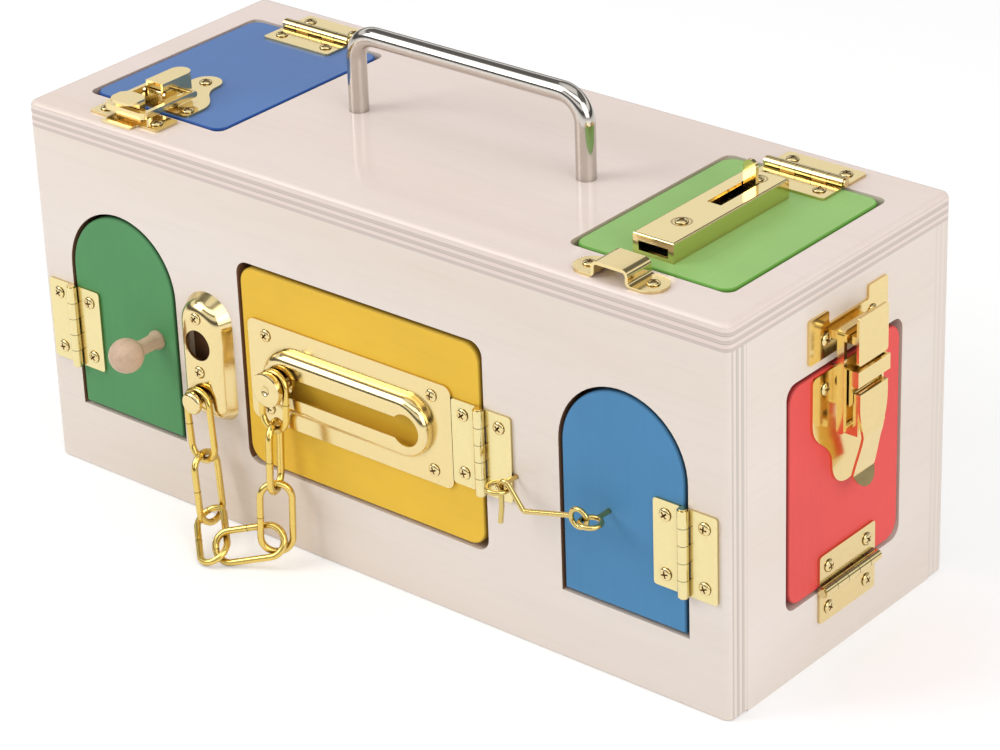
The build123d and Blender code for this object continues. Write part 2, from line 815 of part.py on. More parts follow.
# Draw latches. Local Y points from the door over the seam to the keeper, with the seam at y = 0.
@dataclass
class Latch:
    """The sizes of one draw latch."""

    keeper_width: float
    keeper_low: float
    keeper_high: float
    keeper_waist: float
    keeper_ear: float
    keeper_screw_spread: float
    keeper_screw_level: float
    hook_width: float
    hook_low: float
    hook_high: float
    hook_root_low: float
    hook_root_high: float
    hook_rise: float
    hook_round: float
    base_width: float
    base_top: float
    base_shoulder: float
    base_tail: float
    tail_radius: float
    base_screw_spread: float
    base_screw_level: float
    tail_screw: bool
    lever_pivot: float
    loop_pivot: float
    pivot_rise: float
    lever_rise: float
    lever_width: float
    lever_top: float
    lever_shoulder: float
    lever_waist_width: float
    lever_waist_level: float
    lever_neck_width: float
    lever_tail: float
    lever_bend: float
    lever_flare: float
    lever_dip: float
    lever_flare_rise: float
    flange_end: float
    flange_low: float
    cheek_top: float
    cheek_end: float
    cheek_rise: float
    arm_spread: float
    arm_width: float
    arm_low: float
    arm_high: float
    bar_width: float

    def keeper_screws(self):
        """The two screws in the ears of the keeper."""
        return [Pos(side * self.keeper_screw_spread / 2, self.keeper_screw_level, 0) for side in (-1, 1)]

    def base_screws(self):
        """The screws that hold the base to the door."""
        spots = [Pos(side * self.base_screw_spread / 2, self.base_screw_level, 0) for side in (-1, 1)]
        return spots + [Pos(0, self.base_tail + self.tail_radius, 0)] * self.tail_screw

    def keeper(self):
        """A plate with two ears and a hook that opens away from the door."""
        half = self.keeper_width / 2
        ear = half - self.keeper_ear
        outline = Polyline(
            (-half, self.keeper_low), (half, self.keeper_low),
            (half, self.keeper_high), (ear, self.keeper_high), (ear, self.keeper_waist),
            (-ear, self.keeper_waist), (-ear, self.keeper_high), (-half, self.keeper_high),
            close=True,
        )
        flat = make_face(outline)
        flat = fillet(flat.vertices(), latch_sheet)
        half_hook = self.hook_width / 2
        top = self.hook_rise + latch_sheet
        root = box_between((-half_hook, self.hook_root_low, 0), (half_hook, self.hook_root_high, top))
        lip = box_between((-half_hook, self.hook_low, self.hook_rise), (half_hook, self.hook_high, top))
        lip = fillet(lip.edges().filter_by(Axis.Z), self.hook_round)
        holes = [place * screw_hole(latch_sheet) for place in self.keeper_screws()]
        return extrude(flat, latch_sheet) + root + lip - holes

    def base(self):
        """A tapering plate with two upright cheeks that hold the pin of the lever."""
        half = self.base_width / 2
        tail = self.base_tail + self.tail_radius
        down = ((0, -1), (0, -1))
        up = ((0, 1), (0, 1))
        shoulder = self.base_shoulder
        head = Polyline((-half, shoulder), (-half, self.base_top), (half, self.base_top), (half, shoulder))
        right = Spline((half, shoulder), (self.tail_radius, tail), tangents=down)
        foot = Line((self.tail_radius, tail), (-self.tail_radius, tail))
        left = Spline((-self.tail_radius, tail), (-half, shoulder), tangents=up)
        flat = make_face(head + right + foot + left)
        flat = fillet(flat.vertices().group_by(Axis.Y)[-1], 2 * latch_sheet)
        solid = extrude(flat + Pos(0, tail) * Circle(self.tail_radius), latch_sheet)
        inner = self.lever_width / 2 + cheek_play
        for side in (-1, 1):
            cheek = box_between(
                (side * (inner + latch_sheet / 2) - latch_sheet / 2, self.cheek_end, 0),
                (side * (inner + latch_sheet / 2) + latch_sheet / 2, self.cheek_top, self.cheek_rise),
            )
            solid = solid + fillet(cheek.edges().filter_by(Axis.X).group_by(Axis.Z)[-1], 2 * latch_sheet)
        outer = inner + latch_sheet
        pin = rod_along_x(latch_pin_radius, -outer, outer, self.lever_pivot, self.pivot_rise)
        holes = [place * screw_hole(latch_sheet) for place in self.base_screws()]
        return solid + pin - holes

    def lever(self):
        """A folded channel that turns on the base, with a tongue to lift it by."""
        half = self.lever_width / 2
        neck = self.lever_neck_width / 2
        tip = self.lever_tail + neck
        waist = self.lever_waist_width / 2
        level = self.lever_waist_level
        shoulder = self.lever_shoulder
        down = ((0, -1), (0, -1))
        up = ((0, 1), (0, 1))
        head = Polyline((-half, shoulder), (-half, self.lever_top), (half, self.lever_top), (half, shoulder))
        right = Spline((half, shoulder), (waist, level), (neck, tip), tangents=down)
        end = ThreePointArc((neck, tip), (0, self.lever_tail), (-neck, tip))
        left = Spline((-neck, tip), (-waist, level), (-half, shoulder), tangents=up)
        plan = extrude(make_face(head + right + end + left), 2 * self.lever_rise)
        solid = self.lever_strip() & plan
        for side in (-1, 1):
            middle = side * (half - latch_sheet / 2)
            flange = box_between(
                (middle - latch_sheet / 2, self.flange_end, self.flange_low),
                (middle + latch_sheet / 2, self.lever_top, self.lever_rise),
            )
            solid = solid + flange
        bores = [rod_along_x(latch_pin_radius + fit_clearance, -2 * half, 2 * half, level, self.pivot_rise)
                 for level in (self.lever_pivot, self.loop_pivot)]
        return solid - bores

    def lever_strip(self):
        """The bent sheet of the lever: level, then dipping to the wood, then flared at the tip."""
        dipped = self.lever_rise - self.lever_dip
        spine = [
            (self.lever_top, self.lever_rise), (self.lever_bend, self.lever_rise),
            (self.lever_flare, dipped), (self.lever_tail, dipped + self.lever_flare_rise),
        ]
        upper = [(y, z + latch_sheet) for y, z in reversed(spine)]
        section = Plane.YZ * make_face(Polyline(*spine, *upper, close=True))
        return extrude(section, self.lever_width, both=True)

    def loop(self):
        """A stirrup: a bar behind the hook, two arms and two stub pins that turn in the lever."""
        inner = self.arm_spread / 2
        outer = inner + self.arm_width
        bar_low = self.hook_root_high + latch_play
        bar_high = bar_low + self.bar_width
        foot = self.loop_pivot - self.bar_width
        solid = box_between((-outer, bar_low, self.arm_low), (outer, bar_high, self.arm_high))
        stub = self.lever_width / 2 - latch_sheet
        for side in (-1, 1):
            near = side * (inner + self.arm_width / 2)
            arm = box_between(
                (near - self.arm_width / 2, foot, self.arm_low),
                (near + self.arm_width / 2, bar_high, self.arm_high),
            )
            arm = fillet(arm.edges().filter_by(Axis.X).group_by(Axis.Y)[0], self.bar_width / 2)
            ends = sorted((side * stub, near))
            pin = rod_along_x(latch_pin_radius, *ends, self.loop_pivot, self.pivot_rise)
            solid = solid + arm + pin
        return fillet(solid.edges().filter_by(Axis.Z).group_by(Axis.Y)[-1], self.bar_width)


side_latch = Latch(
    keeper_width=side_keeper_width,
    keeper_low=side_keeper_low,
    keeper_high=side_keeper_high,
    keeper_waist=side_keeper_waist,
    keeper_ear=side_keeper_ear,
    keeper_screw_spread=side_keeper_screw_spread,
    keeper_screw_level=side_keeper_screw_level,
    hook_width=side_hook_width,
    hook_low=side_hook_low,
    hook_high=side_hook_high,
    hook_root_low=side_hook_root_low,
    hook_root_high=side_hook_root_high,
    hook_rise=side_hook_rise,
    hook_round=side_hook_round,
    base_width=side_base_width,
    base_top=side_base_top,
    base_shoulder=side_base_shoulder,
    base_tail=side_base_tail,
    tail_radius=side_tail_radius,
    base_screw_spread=side_base_screw_spread,
    base_screw_level=side_base_screw_level,
    tail_screw=side_tail_screw,
    lever_pivot=side_lever_pivot,
    loop_pivot=side_loop_pivot,
    pivot_rise=side_pivot_rise,
    lever_rise=side_lever_rise,
    lever_width=side_lever_width,
    lever_top=side_lever_top,
    lever_shoulder=side_lever_shoulder,
    lever_waist_width=side_lever_waist_width,
    lever_waist_level=side_lever_waist_level,
    lever_neck_width=side_lever_neck_width,
    lever_tail=side_lever_tail,
    lever_bend=side_lever_bend,
    lever_flare=side_lever_flare,
    lever_dip=side_lever_dip,
    lever_flare_rise=side_lever_flare_rise,
    flange_end=side_flange_end,
    flange_low=side_flange_low,
    cheek_top=side_cheek_top,
    cheek_end=side_cheek_end,
    cheek_rise=side_cheek_rise,
    arm_spread=side_arm_spread,
    arm_width=side_arm_width,
    arm_low=side_arm_low,
    arm_high=side_arm_high,
    bar_width=side_bar_width,
)
top_latch = Latch(
    keeper_width=top_keeper_width,
    keeper_low=top_keeper_low,
    keeper_high=top_keeper_high,
    keeper_waist=top_keeper_waist,
    keeper_ear=top_keeper_ear,
    keeper_screw_spread=top_keeper_screw_spread,
    keeper_screw_level=top_keeper_screw_level,
    hook_width=top_hook_width,
    hook_low=top_hook_low,
    hook_high=top_hook_high,
    hook_root_low=top_hook_root_low,
    hook_root_high=top_hook_root_high,
    hook_rise=top_hook_rise,
    hook_round=top_hook_round,
    base_width=top_base_width,
    base_top=top_base_top,
    base_shoulder=top_base_shoulder,
    base_tail=top_base_tail,
    tail_radius=top_tail_radius,
    base_screw_spread=top_base_screw_spread,
    base_screw_level=top_base_screw_level,
    tail_screw=top_tail_screw,
    lever_pivot=top_lever_pivot,
    loop_pivot=top_loop_pivot,
    pivot_rise=top_pivot_rise,
    lever_rise=top_lever_rise,
    lever_width=top_lever_width,
    lever_top=top_lever_top,
    lever_shoulder=top_lever_shoulder,
    lever_waist_width=top_lever_waist_width,
    lever_waist_level=top_lever_waist_level,
    lever_neck_width=top_lever_neck_width,
    lever_tail=top_lever_tail,
    lever_bend=top_lever_bend,
    lever_flare=top_lever_flare,
    lever_dip=top_lever_dip,
    lever_flare_rise=top_lever_flare_rise,
    flange_end=top_flange_end,
    flange_low=top_flange_low,
    cheek_top=top_cheek_top,
    cheek_end=top_cheek_end,
    cheek_rise=top_cheek_rise,
    arm_spread=top_arm_spread,
    arm_width=top_arm_width,
    arm_low=top_arm_low,
    arm_high=top_arm_high,
    bar_width=top_bar_width,
)


def side_base_bridge():
    """The front bridge between the cheeks of the side latch."""
    outer = side_lever_width / 2 + cheek_play + latch_sheet
    low = side_cheek_top - side_bridge_length
    high = side_lever_rise + latch_sheet
    bridge = box_between((-outer, low, side_lever_rise), (outer, side_cheek_top, high))
    for side in (-1, 1):
        middle = side * (outer - latch_sheet / 2)
        wall = box_between(
            (middle - latch_sheet / 2, low, side_cheek_rise - 3 * latch_sheet),
            (middle + latch_sheet / 2, side_cheek_top, side_lever_rise),
        )
        bridge = bridge + wall
    return bridge


def fit_latch(name, latch, place, frame_wood, door):
    """Put the four pieces of a draw latch in place and drive their screws."""
    nodes[name + "_keeper"] = place * latch.keeper()
    nodes[name + "_base"] = place * latch.base()
    nodes[name + "_lever"] = place * latch.lever()
    nodes[name + "_loop"] = place * latch.loop()
    for spot in latch.keeper_screws():
        drive_screw("frame_screws", frame_wood, place * spot, latch_sheet)
    for spot in latch.base_screws():
        drive_screw(door + "_screws", door + "_panel", place * spot, latch_sheet)


# Places of the doors, their hinges and their stops
half_gap = door_gap / 2
door_places = {
    "green_door": (FRONT * Pos(-arch_offset, 0, 0), arch_outline),
    "yellow_door": (FRONT, hatch_outline),
    "blue_door": (FRONT * Pos(arch_offset, 0, 0), arch_outline),
    "red_door": (END * Pos(end_door_shift, 0, 0), end_door_outline),
    "blue_lid": (TOP * Pos(-lid_offset, 0, 0), lid_outline),
    "green_lid": (TOP * Pos(lid_offset, 0, 0), lid_outline),
}
hinge_edges = {
    "green_door": (Pos(-arch_width / 2 + half_gap, arch_hinge_height, 0), "front_panel"),
    "yellow_door": (Pos(hatch_width / 2 - half_gap, hatch_hinge_height, 0) * Rot(0, 0, 180), "front_panel"),
    "blue_door": (Pos(arch_width / 2 - half_gap, arch_hinge_height, 0) * Rot(0, 0, 180), "front_panel"),
    "red_door": (Pos(end_hinge_offset, end_door_sill + half_gap, 0) * Rot(0, 0, 90), "right_end_panel"),
    "blue_lid": (Pos(0, lid_depth / 2 - half_gap, 0) * Rot(0, 0, -90), "top_panel"),
    "green_lid": (Pos(0, lid_depth / 2 - half_gap, 0) * Rot(0, 0, -90), "top_panel"),
}
stop_edges = {
    "green_door": Pos(arch_width / 2, arch_hinge_height, 0) * Rot(0, 0, 180) * door_stop(True),
    "yellow_door": Pos(-hatch_width / 2, hatch_hinge_height, 0) * door_stop(True),
    "blue_door": Pos(-arch_width / 2, arch_hinge_height, 0) * door_stop(True),
    "red_door": Pos(0, end_door_head, 0) * Rot(0, 0, 180) * door_stop(False),
    "blue_lid": Pos(0, -lid_depth / 2, 0) * door_stop(False),
    "green_lid": Pos(0, -lid_depth / 2, 0) * door_stop(False),
}

# Plywood panels
wall_height = box_height - ply
inside_depth = box_depth - 2 * ply
inside_length = box_length - 2 * ply
nodes["bottom_panel"] = Pos(0, 0, ply / 2) * Box(inside_length, inside_depth, ply)
for name, side in (("front_panel", -1), ("back_panel", 1)):
    wall = Pos(0, side * (box_depth - ply) / 2, wall_height / 2) * Box(box_length, ply, wall_height)
    outer = wall.edges().filter_by(Axis.Z).sort_by(Axis.Y)
    wall = fillet(outer[:2] if side < 0 else outer[-2:], corner_round)
    foot = wall.faces().sort_by(Axis.Z)[0].edges()
    nodes[name] = fillet(foot.filter_by(Axis.X).sort_by(Axis.Y)[0 if side < 0 else -1], foot_round)
for name, side in (("left_end_panel", -1), ("right_end_panel", 1)):
    middle = Pos(side * (box_length - ply) / 2, 0, wall_height / 2)
    nodes[name] = middle * Box(ply, inside_depth, wall_height)
cover = Pos(0, 0, box_height - ply / 2) * Box(box_length, box_depth, ply)
cover = fillet(cover.edges().filter_by(Axis.Z), corner_round)
nodes["top_panel"] = fillet(cover.faces().sort_by(Axis.Z)[-1].edges(), edge_round)

# Doors in their openings, with hinges and stops
pins = []
stops = []
for name, (place, outline) in door_places.items():
    edge, wood = hinge_edges[name]
    nodes[wood] = nodes[wood] - place * opening(outline)
    nodes[name + "_panel"] = place * door_panel(outline)
    pins.append(hang_door(name, place * edge, wood))
    stops.append(place * stop_edges[name])
nodes["hinge_pins"] = pins
nodes["door_stops"] = stops

# Handle on the top
nodes["carry_handle"] = TOP * carry_handle()
feet = [TOP * Pos(side * handle_span / 2, 0, 0) for side in (-1, 1)]
nodes["handle_bolts"] = [foot * handle_bolt() for foot in feet]
clear_hole = rod_along_z(handle_bolt_radius + fit_clearance, -ply - cut_overrun, cut_overrun)
pilots.setdefault("top_panel", []).extend(foot * clear_hole for foot in feet)

# Knob on the green door
knob_place = FRONT * Pos(-arch_offset + arch_width / 2 - knob_inset, knob_height, 0)
nodes["wooden_knob"] = knob_place * turned_knob()
nodes["knob_screw"] = knob_place * knob_screw()
knob_hole = rod_along_z(screw_shank_radius + fit_clearance, -ply - cut_overrun, cut_overrun)
pilots["green_door_panel"].append(knob_place * knob_hole)

# Door chain across the yellow door
slot_place = FRONT * Pos(slot_plate_shift, slot_plate_level, 0)
nodes["chain_slot_plate"] = slot_place * slot_plate()
for spot in slot_screw_places():
    drive_screw("yellow_door_screws", "yellow_door_panel", slot_place * spot, chain_sheet)
anchor_place = FRONT * Pos(anchor_shift, anchor_level, 0)
nodes["chain_anchor_plate"] = anchor_place * anchor_plate()
for spot in anchor_screw_places():
    drive_screw("frame_screws", "front_panel", anchor_place * spot, anchor_rise)
nodes["chain_anchor_rivet"] = FRONT * Pos(anchor_shift, rivet_level, 0) * anchor_rivet()
nodes["chain_knob"] = FRONT * Pos(slot_rest, slot_plate_level, 0) * chain_knob()
for run, spots in chain_spots().items():
    nodes["chain_" + run + "_links"] = [spot.solid() for spot in spots]

# Hook and eye on the blue arched door
eye_hole = rod_along_z(wire_radius + fit_clearance, -eye_shank_depth - fit_clearance, cut_overrun)
catch_place = FRONT * Pos(catch_shift, hook_level, 0)
pivot_place = FRONT * Pos(pivot_shift, hook_level, 0)
nodes["hook_catch_eye"] = catch_place * screw_eye(catch_ring_radius)
nodes["hook_pivot_eye"] = pivot_place * screw_eye(pivot_ring_radius)
nodes["door_hook"] = FRONT * door_hook()
pilots["front_panel"].append(catch_place * eye_hole)
pilots["blue_door_panel"].append(pivot_place * eye_hole)

# Sliding bolt on the green lid
bolt_place = TOP * Pos(bolt_shift, 0, 0)
nodes["bolt_case"] = bolt_place * bolt_case()
nodes["sliding_bolt"] = bolt_place * sliding_bolt()
for spot in case_screw_places():
    drive_screw("green_lid_screws", "green_lid_panel", bolt_place * spot, case_rise)
keeper_middle = -lid_depth / 2 - bolt_keeper_setback - bolt_keeper_depth / 2
keeper_place = bolt_place * Pos(0, keeper_middle, 0)
nodes["bolt_keeper"] = keeper_place * bolt_keeper()
for spot in bolt_keeper_screw_places():
    drive_screw("frame_screws", "top_panel", keeper_place * spot, case_sheet)

# Draw latches on the red door and the blue lid
side_place = END * Pos(end_door_shift + side_latch_shift, end_door_head, 0)
fit_latch("side_latch", side_latch, side_place, "right_end_panel", "red_door")
nodes["side_latch_base"] = nodes["side_latch_base"] + side_place * side_base_bridge()
top_place = TOP * Pos(top_latch_shift - lid_offset, -lid_depth / 2, 0) * Rot(0, 0, 180)
fit_latch("top_latch", top_latch, top_place, "top_panel", "blue_lid")

# Pilot holes and screw groups
for wood, holes in pilots.items():
    nodes[wood] = nodes[wood] - holes
nodes.update(screws)

os.makedirs("parts", exist_ok=True)
for name, shape in nodes.items():
    pieces = shape if isinstance(shape, list) else [shape]
    solids = [solid for piece in pieces for solid in piece.solids()]
    export_step(Compound(children=solids) if len(solids) > 1 else solids[0], f"parts/{name}.step")
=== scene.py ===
"""Dress the wooden lock box: its finishes, fasteners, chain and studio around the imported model."""
import json
import logging
import math
from dataclasses import dataclass
from enum import Enum

import bmesh
import bpy
import numpy as np
from mathutils import Matrix, Vector


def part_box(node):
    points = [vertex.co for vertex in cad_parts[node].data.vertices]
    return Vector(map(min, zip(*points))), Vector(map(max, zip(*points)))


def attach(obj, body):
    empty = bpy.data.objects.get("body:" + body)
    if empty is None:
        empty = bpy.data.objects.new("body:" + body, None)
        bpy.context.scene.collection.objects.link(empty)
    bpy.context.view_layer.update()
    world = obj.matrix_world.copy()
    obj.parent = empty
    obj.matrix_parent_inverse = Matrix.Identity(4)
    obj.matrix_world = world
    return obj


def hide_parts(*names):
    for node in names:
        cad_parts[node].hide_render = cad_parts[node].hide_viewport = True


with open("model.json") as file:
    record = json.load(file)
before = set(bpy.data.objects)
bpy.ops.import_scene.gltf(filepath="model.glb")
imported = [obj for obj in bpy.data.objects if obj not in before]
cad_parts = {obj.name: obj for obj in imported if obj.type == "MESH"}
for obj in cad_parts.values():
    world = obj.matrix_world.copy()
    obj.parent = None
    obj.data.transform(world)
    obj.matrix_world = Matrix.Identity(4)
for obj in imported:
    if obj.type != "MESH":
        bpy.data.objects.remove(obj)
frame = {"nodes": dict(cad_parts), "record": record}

log = logging.getLogger("lock_box")
MM = 0.001
SHARP_ANGLE = math.radians(40)
WELD_GAP = 0.001 * MM
SRGB_KNEE = 0.04045
SRGB_SLOPE = 12.92
SRGB_OFFSET = 0.055
SRGB_POWER = 2.4
FULL = 255.0
WHITE = (1.0, 1.0, 1.0, 1.0)
MIX_FIRST = 6
MIX_SECOND = 7
MIX_RESULT = 2
Colour = tuple[float, float, float]
Light = tuple[float, float, float, float]
Point = tuple[float, float, float]
Stops = tuple[tuple[float, float], ...]


class Way(Enum):
    """A direction of the model's frame, by the index of its coordinate."""

    X = 0
    Y = 1
    Z = 2

    def others(self) -> list["Way"]:
        """Give the two directions square to this one."""
        return [way for way in Way if way is not self]


def linear(colour: Colour) -> Light:
    """Turn a screen colour of 0 to 255 into the linear colour that a shader takes.

    Args:
        colour: Red, green and blue as they show on a screen.

    Returns:
        Linear red, green, blue and an alpha of one.
    """
    parts = []
    for level in colour:
        share = level / FULL
        if share > SRGB_KNEE:
            parts.append(((share + SRGB_OFFSET) / (1 + SRGB_OFFSET)) ** SRGB_POWER)
        else:
            parts.append(share / SRGB_SLOPE)
    return (*parts, 1.0)


def grey(level: float) -> Light:
    """Give the linear colour of a grey."""
    return (level, level, level, 1.0)


def shaded(colour: Colour, share: float) -> Colour:
    """Lighten or darken a screen colour by a share of itself."""
    return tuple(min(FULL, c * share) for c in colour)


def tones(colour: Colour, stops: Stops) -> list[tuple[float, Colour]]:
    """Turn places and shares along a ramp into places and shades of one screen colour."""
    return [(spot, shaded(colour, share)) for spot, share in stops]


@dataclass(frozen=True)
class Waves:
    """A noise by its waves per metre, its octaves, the weight of the finer ones and its stretch."""

    count: float
    detail: float
    roughness: float
    stretch: float = 1.0

    def scale(self, way: Way) -> Point:
        """Give the waves per metre along X, Y and Z, stretched along one of them."""
        counts = [self.count] * 3
        counts[way.value] *= self.stretch
        return tuple(counts)


class TreeBench:
    """Builds a node tree out of nodes, sockets and plain values."""

    def __init__(self, tree: bpy.types.NodeTree) -> None:
        """Take the tree to build in."""
        self.tree = tree

    def add(self, kind: str, settings: dict[str, object] | None = None, **inputs: object) -> bpy.types.Node:
        """Add a node with its properties and inputs.

        Args:
            kind: Blender's name of the node type.
            settings: Properties to set on the node.
            inputs: Values or sockets by input name, with spaces written as underscores.

        Returns:
            The new node.
        """
        node = self.tree.nodes.new(kind)
        for key, value in (settings or {}).items():
            setattr(node, key, value)
        for key, value in inputs.items():
            self.feed(value, node.inputs[key.replace("_", " ")])
        return node

    def feed(self, value: object, socket: bpy.types.NodeSocket) -> None:
        """Give a socket its value, from another socket or as a plain value."""
        if isinstance(value, bpy.types.NodeSocket):
            self.tree.links.new(value, socket)
        else:
            socket.default_value = value

    def math(self, operation: str, first: object, second: object = 0.0) -> bpy.types.NodeSocket:
        """Work out one number from two.

        Args:
            operation: Name of the math operation.
            first: A socket or a number.
            second: A socket or a number.

        Returns:
            The result's socket.
        """
        node = self.add("ShaderNodeMath", {"operation": operation})
        self.feed(first, node.inputs[0])
        self.feed(second, node.inputs[1])
        return node.outputs[0]

    def mix(self, share: object, first: object, second: object) -> bpy.types.NodeSocket:
        """Mix two colours by a share, from the first at 0 to the second at 1."""
        node = self.add("ShaderNodeMix", {"data_type": "RGBA"}, Factor=share)
        self.feed(first, node.inputs[MIX_FIRST])
        self.feed(second, node.inputs[MIX_SECOND])
        return node.outputs[MIX_RESULT]

    def ramp(self, value: bpy.types.NodeSocket, stops: list[tuple[float, Light]]) -> bpy.types.NodeSocket:
        """Colour a value.

        Args:
            value: The socket of a number from 0 to 1.
            stops: Places along the ramp with their linear colours, in order.

        Returns:
            The socket of the colour.
        """
        node = self.add("ShaderNodeValToRGB", Fac=value)
        elements = node.color_ramp.elements
        while len(elements) < len(stops):
            elements.new(1.0)
        for element, (spot, colour) in zip(elements, stops):
            element.position = spot
            element.color = colour
        return node.outputs["Color"]


class NodeBench(TreeBench):
    """Builds the node tree of one material around its principled shader."""

    def __init__(self, name: str) -> None:
        """Start a material.

        Args:
            name: Name of the material.
        """
        self.material = bpy.data.materials.new(name)
        self.material.use_nodes = True
        super().__init__(self.material.node_tree)
        self.shader = self.tree.nodes["Principled BSDF"]
        self.place = self.add("ShaderNodeTexCoord")

    def give(self, label: str, value: object) -> None:
        """Give the shader one of its inputs, as a socket or a plain value."""
        self.feed(value, self.shader.inputs[label])

    def axis(self, output: str, way: Way) -> bpy.types.NodeSocket:
        """Take one coordinate of the surface's place or normal in its own frame."""
        return self.add("ShaderNodeSeparateXYZ", Vector=self.place.outputs[output]).outputs[way.value]

    def aside(self, way: Way, limit: float) -> bpy.types.NodeSocket:
        """Tell surface whose normal has less than a share along a direction, at 1, from the rest."""
        return self.math("LESS_THAN", self.math("ABSOLUTE", self.axis("Normal", way)), limit)

    def noise(self, waves: Waves, way: Way = Way.X) -> bpy.types.NodeSocket:
        """Make a noise on Object coordinates.

        Args:
            waves: The noise's waves.
            way: The direction that they are stretched along.

        Returns:
            The socket of the noise's value, from 0 to 1.
        """
        mapping = self.add("ShaderNodeMapping", Vector=self.place.outputs["Object"], Scale=waves.scale(way))
        node = self.add("ShaderNodeTexNoise", Vector=mapping.outputs["Vector"], Scale=1.0,
                        Detail=waves.detail, Roughness=waves.roughness)
        return node.outputs["Fac"]

    def tint(self, value: bpy.types.NodeSocket, stops: list[tuple[float, Colour]]) -> bpy.types.NodeSocket:
        """Colour a value by a ramp of screen colours."""
        return self.ramp(value, [(spot, linear(colour)) for spot, colour in stops])

    def corners(self, distance: float) -> bpy.types.NodeSocket:
        """Tell open surface, at 1, from the corners and gaps between pieces, towards 0."""
        return self.add("ShaderNodeAmbientOcclusion", {"samples": 8}, Distance=distance).outputs["AO"]

    def span(self, value: bpy.types.NodeSocket, low: float, high: float) -> bpy.types.NodeSocket:
        """Spread a value of 0 to 1 over a range of numbers."""
        return self.add("ShaderNodeMapRange", Value=value, To_Min=low, To_Max=high).outputs["Result"]

    def bump(self, height: bpy.types.NodeSocket, strength: float, depth: float) -> None:
        """Raise the surface a little by a value."""
        node = self.add("ShaderNodeBump", Strength=strength, Distance=depth, Height=height)
        self.give("Normal", node.outputs["Normal"])


@dataclass(frozen=True)
class Shade:
    """A patch of painted shade on a face under a fitting, seen only through a hole in that fitting."""

    limits: tuple[tuple[Way, float, float], ...]
    tone: Colour

    def over(self, bench: NodeBench, colour: bpy.types.NodeSocket) -> bpy.types.NodeSocket:
        """Darken a colour inside the patch.

        Args:
            bench: The material being built.
            colour: The socket of the colour around the patch.

        Returns:
            The socket of the colour with the patch in it.
        """
        share = 1.0
        for way, low, high in self.limits:
            spot = bench.axis("Object", way)
            share = bench.math("MULTIPLY", bench.math("GREATER_THAN", spot, low), share)
            share = bench.math("MULTIPLY", bench.math("LESS_THAN", spot, high), share)
        return bench.mix(share, colour, linear(self.tone))


@dataclass(frozen=True)
class Plywood:
    """Pale whitewashed plywood, grain one way, layers another, raw edges in its openings with painted shade
    and light.
    """

    name: str
    grain: Way
    across: Way
    face: float
    reach: tuple[float, float] = (0.0, 0.0)
    # Raw edge brown, deepened as painted shade; the next colour is painted light for sides facing up or
    # ahead.
    raw_and_shade: Colour = (140, 102, 76)
    lit_side: Colour = (234, 218, 204)
    shade: Shade | None = None
    tone: Colour = (237, 224, 213)
    warm: Colour = (231, 214, 197)
    cool: Colour = (241, 231, 225)
    thickness: float = 12 * MM
    layers: float = 3.5
    contrast: float = 1.0
    fibre: Waves = Waves(420.0, 5.0, 0.62, 0.05)
    cloud: Waves = Waves(16.0, 3.0, 0.5, 0.2)
    fibre_tones: Stops = ((0.28, 0.978), (0.5, 1.0), (0.75, 1.008))
    layer_tones: Stops = ((0.0, 1.0), (0.4, 1.0), (0.5, 0.8), (0.6, 0.92), (0.9, 0.88), (1.0, 1.0))
    wash_spots: Point = (0.32, 0.5, 0.68)
    wash_share: float = 0.5
    edge_turn: float = 0.4
    lit_side_turn: float = 0.7
    gloss: tuple[float, float] = (0.54, 0.6)
    specular: float = 0.22
    satin: float = 0.5
    satin_gloss: float = 0.12
    relief: tuple[float, float] = (0.03, 0.2 * MM)

    def material(self) -> bpy.types.Material:
        """Build the wood's material."""
        bench = NodeBench(self.name)
        fibres = bench.noise(self.fibre, self.grain)
        clouds = bench.noise(self.cloud, self.grain)
        wood = bench.tint(fibres, tones(self.tone, self.fibre_tones))
        wash = bench.tint(clouds, list(zip(self.wash_spots, (self.warm, self.tone, self.cool))))
        flat = bench.mix(self.wash_share, wood, wash)
        if self.shade:
            flat = self.shade.over(bench, flat)
        edges = bench.mix(self.opening(bench), self.layer_colour(bench), self.sides(bench))
        bench.give("Base Color", bench.mix(bench.aside(self.across, self.edge_turn), flat, edges))
        bench.give("Roughness", bench.span(fibres, *self.gloss))
        bench.give("Specular IOR Level", self.specular)
        bench.give("Coat Weight", self.satin)
        bench.give("Coat Roughness", self.satin_gloss)
        bench.bump(fibres, *self.relief)
        return bench.material

    def sides(self, bench: NodeBench) -> bpy.types.NodeSocket:
        """Colour the sides of the openings: raw brown darkened as painted shade, pale as painted light where
        they face up or ahead.
        """
        ahead = bench.math("MULTIPLY", bench.axis("Normal", Way.Y), -1.0)
        facing = bench.math("MAXIMUM", bench.axis("Normal", Way.Z), ahead)
        lit = bench.math("GREATER_THAN", facing, self.lit_side_turn)
        return bench.mix(lit, linear(self.raw_and_shade), linear(self.lit_side))

    def opening(self, bench: NodeBench) -> bpy.types.NodeSocket:
        """Tell the sides of the openings from the outer edges of the sheet."""
        share = 1.0
        for way, reach in zip(self.across.others(), self.reach):
            distance = bench.math("ABSOLUTE", bench.axis("Object", way))
            share = bench.math("MULTIPLY", bench.math("LESS_THAN", distance, reach), share)
        return share

    def layer_colour(self, bench: NodeBench) -> bpy.types.NodeSocket:
        """Colour the layers of the sheet by their depth from the face."""
        depth = bench.math("SUBTRACT", bench.axis("Object", self.across), self.face)
        layer = bench.math("FRACT", bench.math("MULTIPLY", depth, self.layers / self.thickness))
        softened = [(spot, 1 - self.contrast * (1 - share)) for spot, share in self.layer_tones]
        return bench.tint(layer, tones(self.tone, softened))


